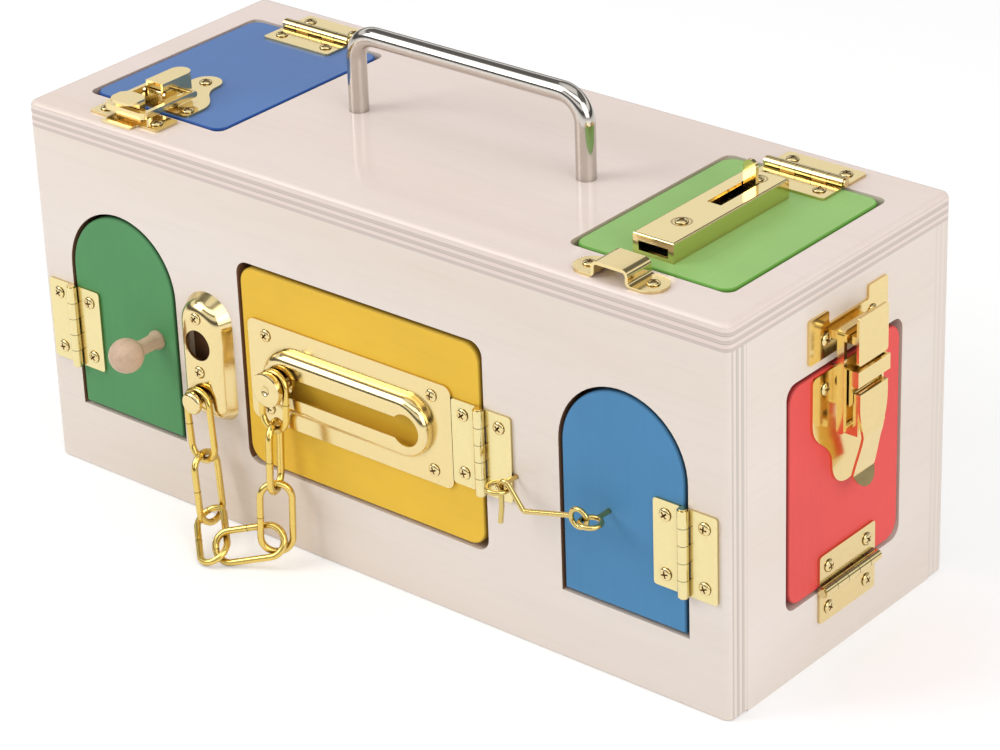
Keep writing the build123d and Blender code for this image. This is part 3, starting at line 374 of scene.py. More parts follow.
@dataclass(frozen=True)
class Paint:
    """Satin paint on plywood, with a little of the grain showing through and painted shade on its edges."""

    name: str
    tone: Colour
    grain: Way
    across: Way
    # Colour of the panel's edges seen in the gaps: painted shade, by default a darker copy of the tone.
    rim: Colour | None = None
    shade: Shade | None = None
    fibre: Waves = Waves(380.0, 4.0, 0.6, 0.06)
    cloud: Waves = Waves(18.0, 3.0, 0.55)
    cloud_tones: Stops = ((0.3, 0.965), (0.7, 1.025))
    fibre_tones: Stops = ((0.25, 0.93), (0.6, 1.0))
    fibre_share: float = 0.2
    rim_turn: float = 0.97
    rim_shade_share: float = 0.84
    gloss: tuple[float, float] = (0.36, 0.5)
    specular: float = 0.22
    relief: tuple[float, float] = (0.04, 0.2 * MM)

    def material(self) -> bpy.types.Material:
        """Build the paint's material."""
        bench = NodeBench(self.name)
        fibres = bench.noise(self.fibre, self.grain)
        clouds = bench.noise(self.cloud)
        body = bench.tint(clouds, tones(self.tone, self.cloud_tones))
        streak = bench.tint(fibres, tones(self.tone, self.fibre_tones))
        coat = bench.mix(self.fibre_share, body, streak)
        if self.shade:
            coat = self.shade.over(bench, coat)
        # Painted shade: the edges of the panel take the darker rim colour.
        rim = linear(self.rim or shaded(self.tone, self.rim_shade_share))
        bench.give("Base Color", bench.mix(bench.aside(self.across, self.rim_turn), coat, rim))
        bench.give("Roughness", bench.span(clouds, *self.gloss))
        bench.give("Specular IOR Level", self.specular)
        bench.bump(fibres, *self.relief)
        return bench.material


@dataclass(frozen=True)
class Plating:
    """Polished metal plating with faint handling marks and painted shade in its corners."""

    name: str
    tone: Colour
    gloss: tuple[float, float] = (0.1, 0.2)
    # Colour of the painted shade in corners, in gaps and in the rings around screws.
    corner_shade: Colour = (118, 82, 36)
    corner: float = 3.6 * MM
    clear: float = 1.35
    rings: tuple[Point, ...] = ()
    ring_radius: float = 4.1 * MM
    ring_width: float = 0.7 * MM
    ring_share: float = 0.75
    mark: Waves = Waves(600.0, 4.0, 0.6, 0.3)
    mark_tones: Stops = ((0.3, 0.985), (0.6, 1.0))
    wave: Waves = Waves(90.0, 2.0, 0.5)
    relief: tuple[float, float] = (0.03, 0.3 * MM)

    def material(self) -> bpy.types.Material:
        """Build the plating's material."""
        bench = NodeBench(self.name)
        marks = bench.noise(self.mark, Way.Y)
        waves = bench.noise(self.wave)
        tone = bench.tint(marks, tones(self.tone, self.mark_tones))
        # Painted shade: ambient occlusion darkens the plating towards the shade colour in corners and gaps.
        open_share = bench.math("MULTIPLY", bench.corners(self.corner), self.clear)
        open_share = bench.math("SMOOTH_MIN", open_share, 1.0)
        tone = bench.mix(open_share, linear(self.corner_shade), tone)
        # Painted shade: a dark ring around each listed screw.
        for centre in self.rings:
            tone = bench.mix(self.ringed(bench, centre), tone, linear(self.corner_shade))
        bench.give("Base Color", tone)
        bench.give("Metallic", 1.0)
        bench.give("Roughness", bench.span(marks, *self.gloss))
        bench.bump(waves, *self.relief)
        return bench.material

    def ringed(self, bench: NodeBench, centre: Point) -> bpy.types.NodeSocket:
        """Paint a ring of shade around one screw that stands upright, where the case is pressed.

        Args:
            bench: The material being built.
            centre: A point on the screw's axis.

        Returns:
            The socket of the ring's share.
        """
        squares = 0.0
        for way in (Way.X, Way.Y):
            gap = bench.math("SUBTRACT", bench.axis("Object", way), centre[way.value])
            squares = bench.math("ADD", bench.math("MULTIPLY", gap, gap), squares)
        off = bench.math("ABSOLUTE", bench.math("SUBTRACT", bench.math("SQRT", squares), self.ring_radius))
        near = bench.math("SUBTRACT", 1.0, bench.math("DIVIDE", off, self.ring_width))
        return bench.math("MULTIPLY", bench.math("MAXIMUM", near, 0.0), self.ring_share)


@dataclass(frozen=True)
class TurnedWood:
    """Bare turned hardwood with its grain along the turning axis."""

    name: str
    tone: Colour
    fibre: Waves = Waves(260.0, 4.0, 0.6, 0.12)
    cloud: Waves = Waves(60.0, 2.0, 0.5, 1 / 3)
    grain_tones: Stops = ((0.3, 0.82), (0.5, 1.0), (0.7, 1.06))
    gloss: tuple[float, float] = (0.4, 0.58)
    specular: float = 0.3
    relief: tuple[float, float] = (0.12, 0.2 * MM)

    def material(self) -> bpy.types.Material:
        """Build the wood's material."""
        bench = NodeBench(self.name)
        fibres = bench.noise(self.fibre, Way.Y)
        clouds = bench.noise(self.cloud, Way.Y)
        middle = bench.math("MULTIPLY", bench.math("ADD", fibres, clouds), 0.5)
        bench.give("Base Color", bench.tint(middle, tones(self.tone, self.grain_tones)))
        bench.give("Roughness", bench.span(fibres, *self.gloss))
        bench.give("Specular IOR Level", self.specular)
        bench.bump(fibres, *self.relief)
        return bench.material


class Finishes:
    """The finishes that more than one sub-assembly takes, each built once."""

    def __init__(self) -> None:
        """Build them all."""
        # Colour of the painted shade in the chrome's and the steel's corners.
        grey_shade = (90, 90, 92)
        self.brass = Plating("polished_brass", (234, 213, 157)).material()
        # A paler copy of the brass for the front hinges: painted light, with a wider painted shade beside the
        # barrels.
        self.lit_leaf_brass = Plating("lit_pale_brass", (236, 221, 165), corner=5 * MM, clear=1.2).material()
        self.amber = Plating("amber_brass", (240, 216, 155), corner_shade=(216, 172, 88)).material()
        self.gold = Plating("gold_wire", (232, 202, 114), (0.14, 0.26), clear=1.15).material()
        self.wire = Plating("aged_wire", (212, 188, 118), (0.12, 0.22)).material()
        # Dark brown for the links' seams and, as painted shade, for the walls of the screws' cross recesses.
        self.seam = Plating("seam_and_recess_shade", (96, 62, 30), (0.4, 0.6)).material()
        self.chrome = Plating("polished_chrome", (204, 198, 190), (0.08, 0.16), grey_shade).material()
        self.steel = Plating("plain_steel", (170, 170, 172), (0.3, 0.45), grey_shade).material()
        self.wood = TurnedWood("turned_wood", (210, 180, 154)).material()


def wear(node: str, material: bpy.types.Material) -> None:
    """Give a CAD node a finish.

    Args:
        node: Name of the node.
        material: The finish to show.
    """
    slots = frame["nodes"][node].data.materials
    slots.clear()
    slots.append(material)
    log.info("dressed %s with %s", node, material.name)


def body_of(node: str) -> str:
    """Find the body that a CAD node belongs to in the record."""
    return next(body for body, nodes in frame["record"]["behaviour"]["bodies"].items() if node in nodes)


def set_piece(mesh: bpy.types.Mesh, node: str) -> None:
    """Let a dressed mesh stand for a CAD node and move with its body.

    Args:
        mesh: The finished mesh, in place.
        node: Name of the CAD node that it replaces.
    """
    piece = bpy.data.objects.new(f"dressed_{node}", mesh)
    bpy.context.collection.objects.link(piece)
    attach(piece, body_of(node))
    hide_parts(node)
    log.info("built %s with %d faces", piece.name, len(mesh.polygons))


def islands(node: str) -> list[np.ndarray]:
    """Split a CAD node into the points of its separate solids.

    Args:
        node: Name of the node.

    Returns:
        One array of points for each solid.
    """
    work = bmesh.new()
    work.from_mesh(frame["nodes"][node].data)
    bmesh.ops.remove_doubles(work, verts=work.verts, dist=WELD_GAP)
    left = set(work.verts)
    groups = []
    for seed in work.verts:
        if seed not in left:
            continue
        left.remove(seed)
        queue = [seed]
        group = []
        while queue:
            vert = queue.pop()
            group.append(tuple(vert.co))
            for edge in vert.link_edges:
                other = edge.other_vert(vert)
                if other in left:
                    left.remove(other)
                    queue.append(other)
        groups.append(np.array(group))
    work.free()
    return groups


class GeoBench(TreeBench):
    """Builds one Geometry Nodes tree and bakes it onto points as a plain mesh."""

    def __init__(self, name: str, sizes: dict[str, float]) -> None:
        """Start a tree that takes points and named sizes.

        Args:
            name: Name of the tree.
            sizes: Names and values of its inputs.
        """
        super().__init__(bpy.data.node_groups.new(name, "GeometryNodeTree"))
        self.tree.interface.new_socket("Points", in_out="INPUT", socket_type="NodeSocketGeometry")
        self.sizes = sizes
        self.sockets = {}
        for label in sizes:
            socket = self.tree.interface.new_socket(label, in_out="INPUT", socket_type="NodeSocketFloat")
            self.sockets[label] = socket.identifier
        self.tree.interface.new_socket("Geometry", in_out="OUTPUT", socket_type="NodeSocketGeometry")
        self.start = self.tree.nodes.new("NodeGroupInput")
        self.end = self.tree.nodes.new("NodeGroupOutput")

    def size(self, label: str) -> bpy.types.NodeSocket:
        """Take a named size from the tree's input."""
        return self.start.outputs[label]

    def vector(self, x: object, y: object, z: object) -> bpy.types.NodeSocket:
        """Join three numbers into a vector."""
        return self.add("ShaderNodeCombineXYZ", X=x, Y=y, Z=z).outputs[0]

    def join(self, *parts: bpy.types.NodeSocket) -> bpy.types.NodeSocket:
        """Join several geometries into one."""
        node = self.add("GeometryNodeJoinGeometry")
        for part in parts:
            self.tree.links.new(part, node.inputs[0])
        return node.outputs[0]

    def paint(self, geometry: bpy.types.NodeSocket, material: bpy.types.Material) -> bpy.types.NodeSocket:
        """Set the material of a geometry."""
        return self.add("GeometryNodeSetMaterial", Geometry=geometry, Material=material).outputs[0]

    def scatter(self, piece: bpy.types.NodeSocket) -> None:
        """Put the piece on every point, turned as the point's attribute says, and end the tree."""
        turn = self.add("GeometryNodeInputNamedAttribute", {"data_type": "FLOAT_VECTOR"}, Name="turn")
        spin = self.add("FunctionNodeEulerToRotation", Euler=turn.outputs["Attribute"])
        placed = self.add("GeometryNodeInstanceOnPoints", Points=self.start.outputs["Points"], Instance=piece,
                          Rotation=spin.outputs[0])
        made = self.add("GeometryNodeRealizeInstances", Geometry=placed.outputs[0])
        self.feed(made.outputs[0], self.end.inputs[0])

    def bake(self, places: list[Matrix]) -> bpy.types.Mesh:
        """Run the tree on a set of places.

        Args:
            places: Where each piece goes and how it is turned.

        Returns:
            A plain mesh of all the pieces.
        """
        points = bpy.data.meshes.new(self.tree.name)
        points.from_pydata([place.translation for place in places], [], [])
        turn = points.attributes.new("turn", "FLOAT_VECTOR", "POINT")
        for item, place in zip(turn.data, places):
            item.vector = tuple(place.to_euler())
        carrier = bpy.data.objects.new(self.tree.name, points)
        bpy.context.collection.objects.link(carrier)
        modifier = carrier.modifiers.new("tree", "NODES")
        modifier.node_group = self.tree
        for label, value in self.sizes.items():
            modifier[self.sockets[label]] = value
        graph = bpy.context.evaluated_depsgraph_get()
        mesh = bpy.data.meshes.new_from_object(carrier.evaluated_get(graph))
        bpy.data.objects.remove(carrier)
        return mesh


def along(direction: Vector, origin: Vector, roll: float = 0.0) -> Matrix:
    """Make a place whose local Z runs along a direction.

    Args:
        direction: The way of local Z.
        origin: The place's origin.
        roll: Turn about that way, in radians.

    Returns:
        The place as a matrix.
    """
    turn = direction.to_track_quat("Z", "Y").to_matrix().to_4x4()
    return Matrix.Translation(origin) @ turn @ Matrix.Rotation(roll, 4, "Z")


@dataclass
class Screws:
    """Domed cross-head screws in place of the plain ones of the CAD."""

    finishes: Finishes
    head: float = 2.85 * MM
    crown: float = 1.0 * MM
    rim: float = 0.35 * MM
    recess: float = 3.3 * MM
    slot: float = 0.75 * MM
    depth: float = 0.8 * MM
    shank: float = 1.35 * MM
    length: float = 8.0 * MM
    seat: float = 0.5 * MM
    segments: int = 40
    sides: int = 20
    first_turn: float = 0.7
    turn_step: float = 1.1
    groups: tuple[str, ...] = ("frame_screws", "green_door_screws", "yellow_door_screws", "blue_door_screws",
                               "red_door_screws", "blue_lid_screws", "green_lid_screws")
    facing: tuple[float, ...] = (1.0, -1.0, 1.0)

    def tree(self) -> GeoBench:
        """Build the tree of one screw: a dome on a rim, a cross cut into it and a shank."""
        sizes = {"Head": self.head, "Crown": self.crown, "Rim": self.rim, "Recess": self.recess,
                 "Slot": self.slot, "Depth": self.depth, "Shank": self.shank, "Length": self.length}
        bench = GeoBench("screws", sizes)
        head, crown, rim = bench.size("Head"), bench.size("Crown"), bench.size("Rim")
        ball = bench.add("GeometryNodeMeshUVSphere", Segments=self.segments, Rings=self.segments // 2,
                         Radius=1.0)
        squash = bench.vector(head, head, crown)
        dome = bench.add("GeometryNodeTransform", Geometry=ball.outputs["Mesh"], Scale=squash,
                         Translation=bench.vector(0.0, 0.0, rim))
        bars = []
        for first, second in (("Recess", "Slot"), ("Slot", "Recess")):
            deep = bench.math("MULTIPLY", bench.size("Depth"), 2.0)
            size = bench.vector(bench.size(first), bench.size(second), deep)
            bar = bench.add("GeometryNodeMeshCube", Size=size)
            # The walls of the cross recess take the dark seam colour: painted shade.
            dark = bench.paint(bar.outputs["Mesh"], self.finishes.seam)
            top = bench.vector(0.0, 0.0, bench.math("ADD", crown, rim))
            bars.append(bench.add("GeometryNodeTransform", Geometry=dark, Translation=top).outputs[0])
        cut = bench.add("GeometryNodeMeshBoolean", {"operation": "DIFFERENCE"})
        bench.feed(bench.paint(dome.outputs[0], self.finishes.brass), cut.inputs["Mesh 1"])
        for bar in bars:
            bench.feed(bar, cut.inputs["Mesh 2"])
        shank = bench.add("GeometryNodeMeshCylinder", Vertices=self.sides, Radius=bench.size("Shank"),
                          Depth=bench.size("Length"))
        drop = bench.vector(0.0, 0.0, bench.math("MULTIPLY", bench.size("Length"), -0.5))
        stem = bench.add("GeometryNodeTransform", Geometry=shank.outputs["Mesh"], Translation=drop)
        smooth = bench.add("GeometryNodeSetShadeSmooth", Geometry=cut.outputs["Mesh"], Shade_Smooth=True)
        bench.scatter(bench.join(smooth.outputs[0], bench.paint(stem.outputs[0], self.finishes.brass)))
        return bench

    def places(self, node: str) -> list[Matrix]:
        """Find where the screws of a group sit, from their solids.

        Args:
            node: Name of the group's node.

        Returns:
            One place for each screw, at the surface that its head sits on.
        """
        found = []
        for index, points in enumerate(islands(node)):
            low, high = points.min(axis=0), points.max(axis=0)
            way = int(np.argmax(high - low))
            outward = Vector((0, 0, 0))
            outward[way] = self.facing[way]
            middle = Vector((low + high) / 2)
            middle[way] = (high if self.facing[way] > 0 else low)[way]
            turn = self.first_turn + self.turn_step * index
            found.append(along(outward, middle - outward * self.seat, turn))
        return found

    def build(self) -> None:
        """Put the screws of every body in place."""
        for node in self.groups:
            set_piece(self.tree().bake(self.places(node)), node)


@dataclass
class Chain:
    """Oblong links of bevelled wire, each with its closing seam."""

    finishes: Finishes
    wire: float = 1.62 * MM
    width: float = 17.4 * MM
    seam: float = 0.22 * MM
    bend_steps: int = 14
    bend_share: float = 0.499
    wire_sides: int = 8
    seam_sides: int = 24
    runs: tuple[str, ...] = ("chain_left_links", "chain_floor_links", "chain_right_links")

    def tree(self, length: float) -> GeoBench:
        """Build the tree of one link of a given length: a rounded loop of wire and a thin dark seam.

        Args:
            length: Overall length of the link.

        Returns:
            The finished tree.
        """
        sizes = {"Length": length, "Width": self.width, "Wire": self.wire, "Seam": self.seam}
        bench = GeoBench("links", sizes)
        thick = bench.math("MULTIPLY", bench.size("Wire"), 2.0)
        across = bench.math("SUBTRACT", bench.size("Width"), thick)
        loop = bench.add("GeometryNodeCurvePrimitiveQuadrilateral", Height=across,
                         Width=bench.math("SUBTRACT", bench.size("Length"), thick))
        half = bench.math("MULTIPLY", across, self.bend_share)
        path = bench.add("GeometryNodeFilletCurve", {"mode": "POLY"}, Curve=loop.outputs[0], Radius=half,
                         Count=self.bend_steps)
        profile = bench.add("GeometryNodeCurvePrimitiveCircle", Resolution=self.wire_sides,
                            Radius=bench.size("Wire"))
        turned = bench.add("GeometryNodeTransform", Geometry=profile.outputs["Curve"],
                           Rotation=(0.0, 0.0, math.pi / self.wire_sides))
        body = bench.add("GeometryNodeCurveToMesh", Curve=path.outputs[0], Profile_Curve=turned.outputs[0])
        ring = bench.add("GeometryNodeMeshCylinder", Vertices=self.seam_sides, Depth=bench.size("Seam"),
                         Radius=bench.size("Wire"))
        spot = bench.vector(0.0, bench.math("MULTIPLY", across, 0.5), 0.0)
        mark = bench.add("GeometryNodeTransform", Geometry=ring.outputs["Mesh"], Translation=spot,
                         Rotation=(0.0, math.pi / 2, 0.0))
        whole = bench.join(bench.paint(body.outputs[0], self.finishes.gold),
                           bench.paint(mark.outputs[0], self.finishes.seam))
        bench.scatter(whole)
        return bench

    def place(self, points: np.ndarray) -> tuple[Matrix, float]:
        """Find a link's place and length from the points of its solid.

        Args:
            points: The solid's points.

        Returns:
            The place, with the link along its X and its plane square to its Z, and the link's length.
        """
        low, high = points.min(axis=0), points.max(axis=0)
        middle = (low + high) / 2
        spread = np.linalg.eigh(np.cov((points - points.mean(axis=0)).T))[1]
        long, normal = Vector(spread[:, 2]), Vector(spread[:, 0])
        reach = (points - middle) @ spread
        centre = Vector(middle + spread @ ((reach.min(axis=0) + reach.max(axis=0)) / 2))
        turn = Matrix((long, normal.cross(long), normal)).transposed().to_4x4()
        return Matrix.Translation(centre) @ turn, float(np.ptp(reach[:, 2]))

    def build(self) -> None:
        """Put every run of links in place."""
        for node in self.runs:
            by_length: dict[float, list[Matrix]] = {}
            for points in islands(node):
                place, length = self.place(points)
                by_length.setdefault(round(length / MM) * MM, []).append(place)
            meshes = [self.tree(length).bake(places) for length, places in by_length.items()]
            set_piece(merged(meshes, node), node)


def merged(meshes: list[bpy.types.Mesh], name: str) -> bpy.types.Mesh:
    """Join meshes with the same materials into one.

    Args:
        meshes: The meshes to join.
        name: Name of the joined mesh.

    Returns:
        The joined mesh.
    """
    work = bmesh.new()
    for mesh in meshes:
        work.from_mesh(mesh)
    whole = bpy.data.meshes.new(name)
    work.to_mesh(whole)
    work.free()
    for material in meshes[0].materials:
        whole.materials.append(material)
    return whole


@dataclass
class Turned:
    """A piece turned about a line square to the front, drawn as radii at distances from the wood."""

    node: str
    x: float
    z: float
    face: float
    outline: list[tuple[float, float]]
    finish: bpy.types.Material
    segments: int = 72

    def build(self) -> None:
        """Spin the outline into a mesh and put it in place."""
        work = bmesh.new()
        rings = []
        for radius, reach in self.outline:
            ring = []
            for step in range(self.segments):
                angle = 2 * math.pi * step / self.segments
                x, z = self.x + radius * math.cos(angle), self.z + radius * math.sin(angle)
                ring.append(work.verts.new((x, self.face - reach, z)))
            rings.append(ring)
        for first, second in zip(rings, rings[1:]):
            for step in range(self.segments):
                after = (step + 1) % self.segments
                work.faces.new((first[step], first[after], second[after], second[step]))
        work.faces.new(rings[0][::-1])
        work.faces.new(rings[-1])
        bmesh.ops.recalc_face_normals(work, faces=work.faces)
        for face in work.faces:
            face.smooth = True
        mesh = bpy.data.meshes.new(self.node)
        work.to_mesh(mesh)
        work.free()
        mesh.materials.append(self.finish)
        mesh.set_sharp_from_angle(angle=SHARP_ANGLE)
        set_piece(mesh, self.node)


@dataclass
class Strap:
    """The keeper of the bolt: a strap bent over the bolt, with soft bends and round ears."""

    finishes: Finishes
    node: str = "bolt_keeper"
    sheet: float = 1.4 * MM
    bend: float = 1.5 * MM
    half_bridge: float = 7.8 * MM
    steps: int = 8
    flat_steps: int = 24

    def line(self, length: float, rise: float) -> list[tuple[float, float, float]]:
        """Draw the underside of the right half of the strap, from its ear to its crest.

        Args:
            length: Half the overall length of the strap.
            rise: Height of the underside of the bridge.

        Returns:
            Points as distance from the middle, height and the angle of the outward normal.
        """
        wide = self.bend + self.sheet
        foot = (self.half_bridge + wide, wide)
        head = (self.half_bridge - self.bend, rise - self.bend)
        turns = np.linspace(0, math.pi / 2, self.steps)
        flat = [(x, 0.0, math.pi / 2) for x in np.linspace(length, foot[0], self.flat_steps, endpoint=False)]
        low = [(foot[0] - wide * math.sin(t), foot[1] - wide * math.cos(t), math.pi / 2 - t) for t in turns]
        high = [(head[0] + self.bend * math.cos(t), head[1] + self.bend * math.sin(t), t) for t in turns]
        return flat + low + high

    def build(self) -> None:
        """Bend the strap over the box of the CAD's keeper and put it in place."""
        low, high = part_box(self.node)
        middle, size = (low + high) / 2, high - low
        half, ear = size.x / 2, size.y / 2
        right = self.line(half, size.z - self.sheet)
        whole = right + [(-x, z, math.pi - turn) for x, z, turn in reversed(right)]
        work = bmesh.new()
        rows = []
        for x, z, turn in whole:
            row = []
            for lift, side in ((0.0, -1), (0.0, 1), (self.sheet, 1), (self.sheet, -1)):
                spot = x + lift * math.cos(turn)
                past = max(0.0, abs(spot) - (half - ear))
                deep = math.sqrt(max(ear * ear - past * past, 0.0))
                place = (middle.x + spot, middle.y + side * deep, low.z + z + lift * math.sin(turn))
                row.append(work.verts.new(place))
            rows.append(row)
        for first, second in zip(rows, rows[1:]):
            for i in range(4):
                face = work.faces.new((first[i], first[(i + 1) % 4], second[(i + 1) % 4], second[i]))
                face.smooth = True
        work.faces.new(rows[0][::-1])
        work.faces.new(rows[-1])
        bmesh.ops.remove_doubles(work, verts=work.verts, dist=WELD_GAP)
        bmesh.ops.recalc_face_normals(work, faces=work.faces)
        mesh = bpy.data.meshes.new(self.node)
        work.to_mesh(mesh)
        work.free()
        mesh.materials.append(self.finishes.brass)
        mesh.set_sharp_from_angle(angle=SHARP_ANGLE)
        set_piece(mesh, self.node)


@dataclass
class Carcass:
    """The plywood box itself."""

    length: float = 390 * MM
    depth: float = 156 * MM
    height: float = 180 * MM
    margin: float = 10 * MM
    # Raw side colours of two panels: the end's darker, as painted shade; the top's paler, as painted light.
    end_raw_and_shade: Colour = (118, 90, 78)
    top_raw_and_light: Colour = (222, 198, 180)
    # Painted shade on the wood seen through the anchor plate's hole.
    keyhole_shade: Shade = Shade(
        ((Way.X, -99 * MM, -79 * MM), (Way.Z, 78 * MM, 102 * MM), (Way.Y, -79 * MM, -76 * MM)),
        (120, 84, 60),
    )

    def finishes(self) -> dict[str, Plywood]:
        """Give each panel plywood whose grain and layers run its own way."""
        side, end, top, margin = self.depth / 2, self.length / 2, self.height, self.margin
        inside = top - 2 * margin
        front = (end - margin, inside)
        right = (side - 2 * margin, inside)
        over = (end - margin, side - margin)
        return {
            "front_panel": Plywood("ply_front", Way.X, Way.Y, -side, front, shade=self.keyhole_shade),
            "back_panel": Plywood("ply_back", Way.X, Way.Y, side, contrast=0.25),
            "left_end_panel": Plywood("ply_left", Way.Y, Way.X, -end),
            "right_end_panel": Plywood("ply_right", Way.Y, Way.X, end, right, self.end_raw_and_shade),
            "top_panel": Plywood("ply_top", Way.X, Way.Z, top, over, self.top_raw_and_light, tone=(236, 219, 210),
                                 warm=(231, 211, 196), cool=(239, 226, 220)),
            "bottom_panel": Plywood("ply_bottom", Way.X, Way.Z, 0.0),
            "door_stops": Plywood("ply_stops", Way.Z, Way.X, 0.0),
        }

    def dress(self) -> None:
        """Put the plywood on the panels."""
        for node, finish in self.finishes().items():
            wear(node, finish.material())


@dataclass
class Doors:
    """The six painted doors and lids."""

    # Painted shade on the green lid under the bolt's case.
    shade_under_case: Shade = Shade(
        ((Way.X, 125.5 * MM, 143.5 * MM), (Way.Y, -45 * MM, 31 * MM), (Way.Z, 178 * MM, 182 * MM)),
        (34, 40, 24),
    )

    def finishes(self) -> dict[str, Paint]:
        """Give each door its paint, over grain that runs its own way."""
        return {
            "green_door_panel": Paint("green_paint", (86, 151, 95), Way.Z, Way.Y),
            "yellow_door_panel": Paint("yellow_paint", (241, 195, 63), Way.X, Way.Y),
            "blue_door_panel": Paint("blue_paint", (78, 139, 186), Way.Z, Way.Y),
            "red_door_panel": Paint("red_paint", (237, 86, 82), Way.Z, Way.X),
            # The lids' edges take darker colours: painted shade.
            "blue_lid_panel": Paint("lid_blue_paint", (94, 129, 186), Way.Y, Way.Z, (42, 86, 160)),
            "green_lid_panel": Paint("lid_green_paint", (155, 200, 118), Way.Y, Way.Z, (112, 172, 74),
                                     self.shade_under_case),
        }

    def dress(self) -> None:
        """Paint the doors."""
        for node, finish in self.finishes().items():
            wear(node, finish.material())


@dataclass
class Hardware:
    """The plated fittings, the turned knobs and the rivet."""

    finishes: Finishes
    face: float = -78 * MM
    wire_nodes: tuple[str, ...] = ("door_hook", "hook_pivot_eye", "hook_catch_eye")
    ball_radius: float = 8.0
    ball_reach: float = 20.0
    ball_turns: tuple[float, float, int] = (0.5, math.pi - 0.02, 40)

    def dress(self) -> None:
        """Plate the fittings by the record's own slots, apart from hinges, hook, end latch and bolt case."""
        by_slot = {"brass": self.finishes.brass, "chrome": self.finishes.chrome, "steel": self.finishes.steel,
                   "bare_wood": self.finishes.wood}
        special = dict.fromkeys(self.wire_nodes, self.finishes.wire)
        special["bolt_case"] = self.case()
        latches = [part["node"] for part in frame["record"]["subparts"] if "side_latch" in part["node"]]
        special.update(dict.fromkeys(latches, self.finishes.amber))
        for part in frame["record"]["subparts"]:
            finish = by_slot.get(part["material_slot"])
            # The front hinges take the paler copy of the brass: painted light.
            if finish == self.finishes.brass and "door_hinge" in part["node"] and "red" not in part["node"]:
                finish = self.finishes.lit_leaf_brass
            finish = special.get(part["node"], finish)
            if finish:
                wear(part["node"], finish)

    def case(self) -> bpy.types.Material:
        """Make the brass of the bolt's case, with a ring of painted shade around each of its screws."""
        low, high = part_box("bolt_case")
        middles = [(points.min(axis=0) + points.max(axis=0)) / 2 for points in islands("green_lid_screws")]
        rings = tuple(tuple(float(value) for value in middle) for middle in middles
                      if low.x < middle[0] < high.x and low.y < middle[1] < high.y)
        return Plating("ringed_brass", (238, 219, 162), rings=rings).material()

    def turned(self) -> list[Turned]:
        """List the pieces spun afresh: the ball knob, the chain's knob and the anchor's rivet, in mm."""
        radius, reach = self.ball_radius, self.ball_reach
        turns = np.linspace(*self.ball_turns)
        ball = [(radius * math.sin(turn), reach - radius * math.cos(turn)) for turn in turns]
        knob = [(4.5, 0.0), (4.6, 0.3), (4.6, 1.4), (4.0, 2.4), (3.6, 4.2), (3.5, 9.0)] + ball
        disc = [(4.5, 3.0), (6.6, 3.0), (6.6, 4.8), (4.5, 4.8), (4.5, 12.2), (7.7, 12.2), (8.0, 12.5),
                (8.0, 14.6), (7.8, 15.1), (7.2, 15.4), (2.6, 15.4), (2.2, 15.1), (1.4, 14.5), (0.5, 14.3)]
        rivet = [(2.8, 0.0), (2.8, 13.2), (5.1, 13.2), (5.4, 13.5), (5.4, 14.4), (5.0, 15.2), (4.2, 15.7),
                 (3.0, 15.9), (0.4, 16.0)]
        lines = {"wooden_knob": (knob, self.finishes.wood), "chain_knob": (disc, self.finishes.brass),
                 "chain_anchor_rivet": (rivet, self.finishes.brass)}
        pieces = []
        for node, (outline, finish) in lines.items():
            low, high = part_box(node)
            middle = (low + high) / 2
            scaled = [(radius * MM, reach * MM) for radius, reach in outline]
            pieces.append(Turned(node, middle.x, middle.z, self.face, scaled, finish))
        return pieces

    def build(self) -> None:
        """Dress the fittings and spin the turned pieces."""
        self.dress()
        for piece in self.turned():
            piece.build()


@dataclass(frozen=True)
class Lamp:
    """A square soft lamp, by its place, the length of its side and its power in watts."""

    name: str
    place: Point
    size: float
    power: float

    def hang(self, aim: Point) -> None:
        """Hang the lamp so that it looks at a point."""
        data = bpy.data.lights.new(self.name, "AREA")
        data.size = self.size
        data.energy = self.power
        lamp = bpy.data.objects.new(self.name, data)
        look = Vector(aim) - Vector(self.place)
        turn = look.to_track_quat("-Z", "Y").to_matrix().to_4x4()
        lamp.matrix_world = Matrix.Translation(self.place) @ turn
        bpy.context.collection.objects.link(lamp)


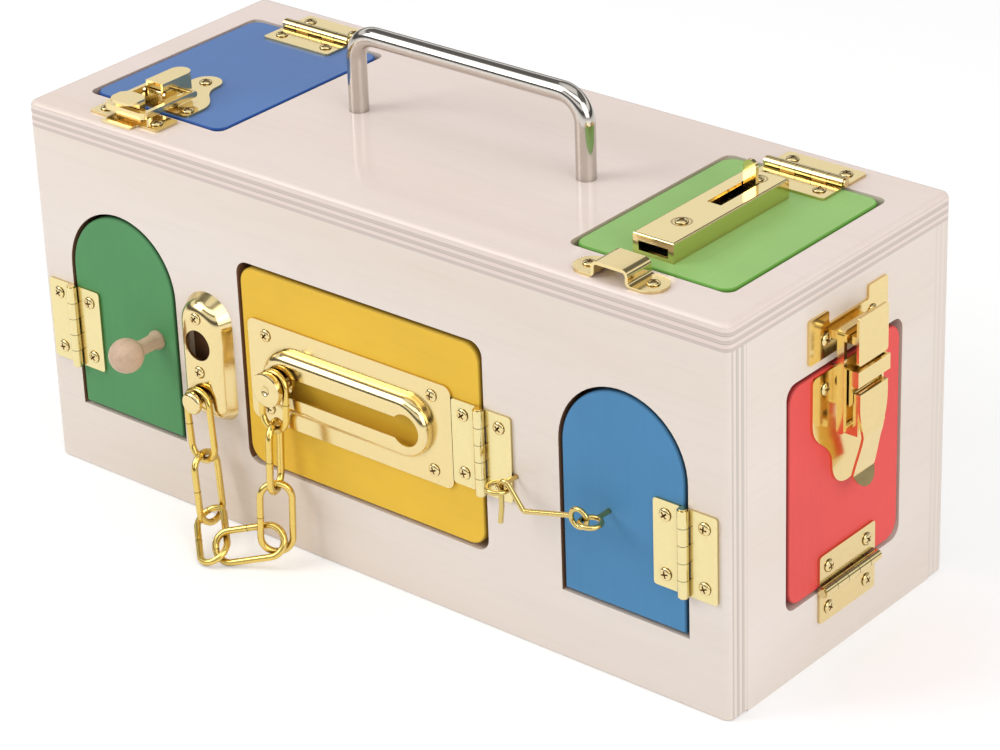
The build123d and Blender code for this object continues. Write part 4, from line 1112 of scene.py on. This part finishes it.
@dataclass
class Studio:
    """White sweep, soft lamps and the camera at the photograph's angle."""

    location: Point = (0.909103, -1.044277, 0.777507)
    view: Point = (-0.594485, 0.673532, -0.439252)
    right: Point = (0.761494, 0.647029, -0.038480)
    focal_px: float = 3495.82
    centre_px: tuple[float, float] = (455.28, 309.63)
    image_px: tuple[float, float] = (1000.0, 750.0)
    sensor_mm: float = 36.0
    floor_reach: float = 12.0
    floor_tone: float = 0.8
    floor_roughness: float = 0.9
    floor_glow: float = 0.3
    room: float = 0.55
    mirror: Stops = ((0.0, 0.1), (0.22, 0.1), (0.3, 1.0), (0.49, 1.0), (0.55, 0.1), (0.63, 0.08), (0.69, 2.4),
                     (0.84, 2.4), (0.91, 0.35), (1.0, 0.35))
    dark_mirror: Stops = ((0.0, 0.1), (0.22, 0.1), (0.3, 1.0), (0.5, 1.0), (0.57, 0.16), (0.88, 0.16),
                          (1.0, 0.35))
    turn_back: tuple[float, float] = (-0.3, -0.12)
    aim: Point = (0.0, 0.0, 0.09)
    lamps: tuple[Lamp, ...] = (
        Lamp("key", (-1.0, -1.1, 1.1), 0.9, 11.6),
        Lamp("fill", (1.7, -0.4, 0.9), 1.4, 13.0),
        Lamp("overhead", (-0.1, 0.2, 2.2), 1.8, 6.7),
    )

    def camera(self) -> None:
        """Make the camera from its place, its view and the photograph's centre."""
        view, right = Vector(self.view).normalized(), Vector(self.right).normalized()
        up = right.cross(view)
        data = bpy.data.cameras.new("camera")
        data.sensor_fit = "HORIZONTAL"
        data.sensor_width = self.sensor_mm
        data.lens = self.focal_px / self.image_px[0] * self.sensor_mm
        data.shift_x = (self.image_px[0] / 2 - self.centre_px[0]) / self.image_px[0]
        data.shift_y = (self.centre_px[1] - self.image_px[1] / 2) / self.image_px[0]
        turn = Matrix((right, up, -view)).transposed().to_4x4()
        camera = bpy.data.objects.new("camera", data)
        camera.matrix_world = Matrix.Translation(self.location) @ turn
        bpy.context.collection.objects.link(camera)
        bpy.context.scene.camera = camera

    def floor(self) -> None:
        """Make the white floor, which keeps the soft shadow."""
        mesh = bpy.data.meshes.new("floor")
        r = self.floor_reach
        mesh.from_pydata([(-r, -r, 0), (r, -r, 0), (r, r, 0), (-r, r, 0)], [], [(0, 1, 2, 3)])
        floor = bpy.data.objects.new("floor", mesh)
        bpy.context.collection.objects.link(floor)
        bench = NodeBench("white_floor")
        bench.give("Base Color", grey(self.floor_tone))
        bench.give("Roughness", self.floor_roughness)
        bench.give("Specular IOR Level", 0.0)
        path = bench.add("ShaderNodeLightPath")
        seen = bench.math("MAXIMUM", path.outputs["Is Camera Ray"], path.outputs["Is Glossy Ray"])
        bench.give("Emission Color", WHITE)
        bench.give("Emission Strength", bench.math("MULTIPLY", seen, self.floor_glow))
        mesh.materials.append(bench.material)

    def world(self) -> None:
        """Light the room evenly and white, with bright and dark bands that only the metal mirrors."""
        world = bpy.data.worlds.new("room")
        bpy.context.scene.world = world
        world.use_nodes = True
        world.node_tree.nodes.clear()
        bench = TreeBench(world.node_tree)
        path = bench.add("ShaderNodeLightPath")
        place = bench.add("ShaderNodeTexCoord")
        split = bench.add("ShaderNodeSeparateXYZ", Vector=place.outputs["Generated"])
        bands = []
        for table in (self.mirror, self.dark_mirror):
            bands.append(bench.ramp(split.outputs["Z"], [(height, grey(level)) for height, level in table]))
        low, high = self.turn_back
        behind = bench.add("ShaderNodeMapRange", Value=split.outputs["Y"], From_Min=low, From_Max=high)
        mirror = bench.mix(behind.outputs["Result"], *bands)
        shade = bench.mix(path.outputs["Is Glossy Ray"], grey(self.room), mirror)
        shade = bench.mix(path.outputs["Is Camera Ray"], shade, WHITE)
        back = bench.add("ShaderNodeBackground", Color=shade, Strength=1.0)
        bench.add("ShaderNodeOutputWorld", Surface=back.outputs[0])

    def build(self) -> None:
        """Set up the whole studio."""
        self.camera()
        self.floor()
        self.world()
        for lamp in self.lamps:
            lamp.hang(self.aim)
        bpy.context.scene.view_settings.view_transform = "Standard"


def main() -> None:
    """Build and dress the whole object."""
    logging.basicConfig(level=logging.INFO, format="%(name)s: %(message)s")
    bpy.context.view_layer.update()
    finishes = Finishes()
    Carcass().dress()
    Doors().dress()
    Hardware(finishes).build()
    Strap(finishes).build()
    Screws(finishes).build()
    Chain(finishes).build()
    Studio().build()


if __name__ == "__main__":
    main()
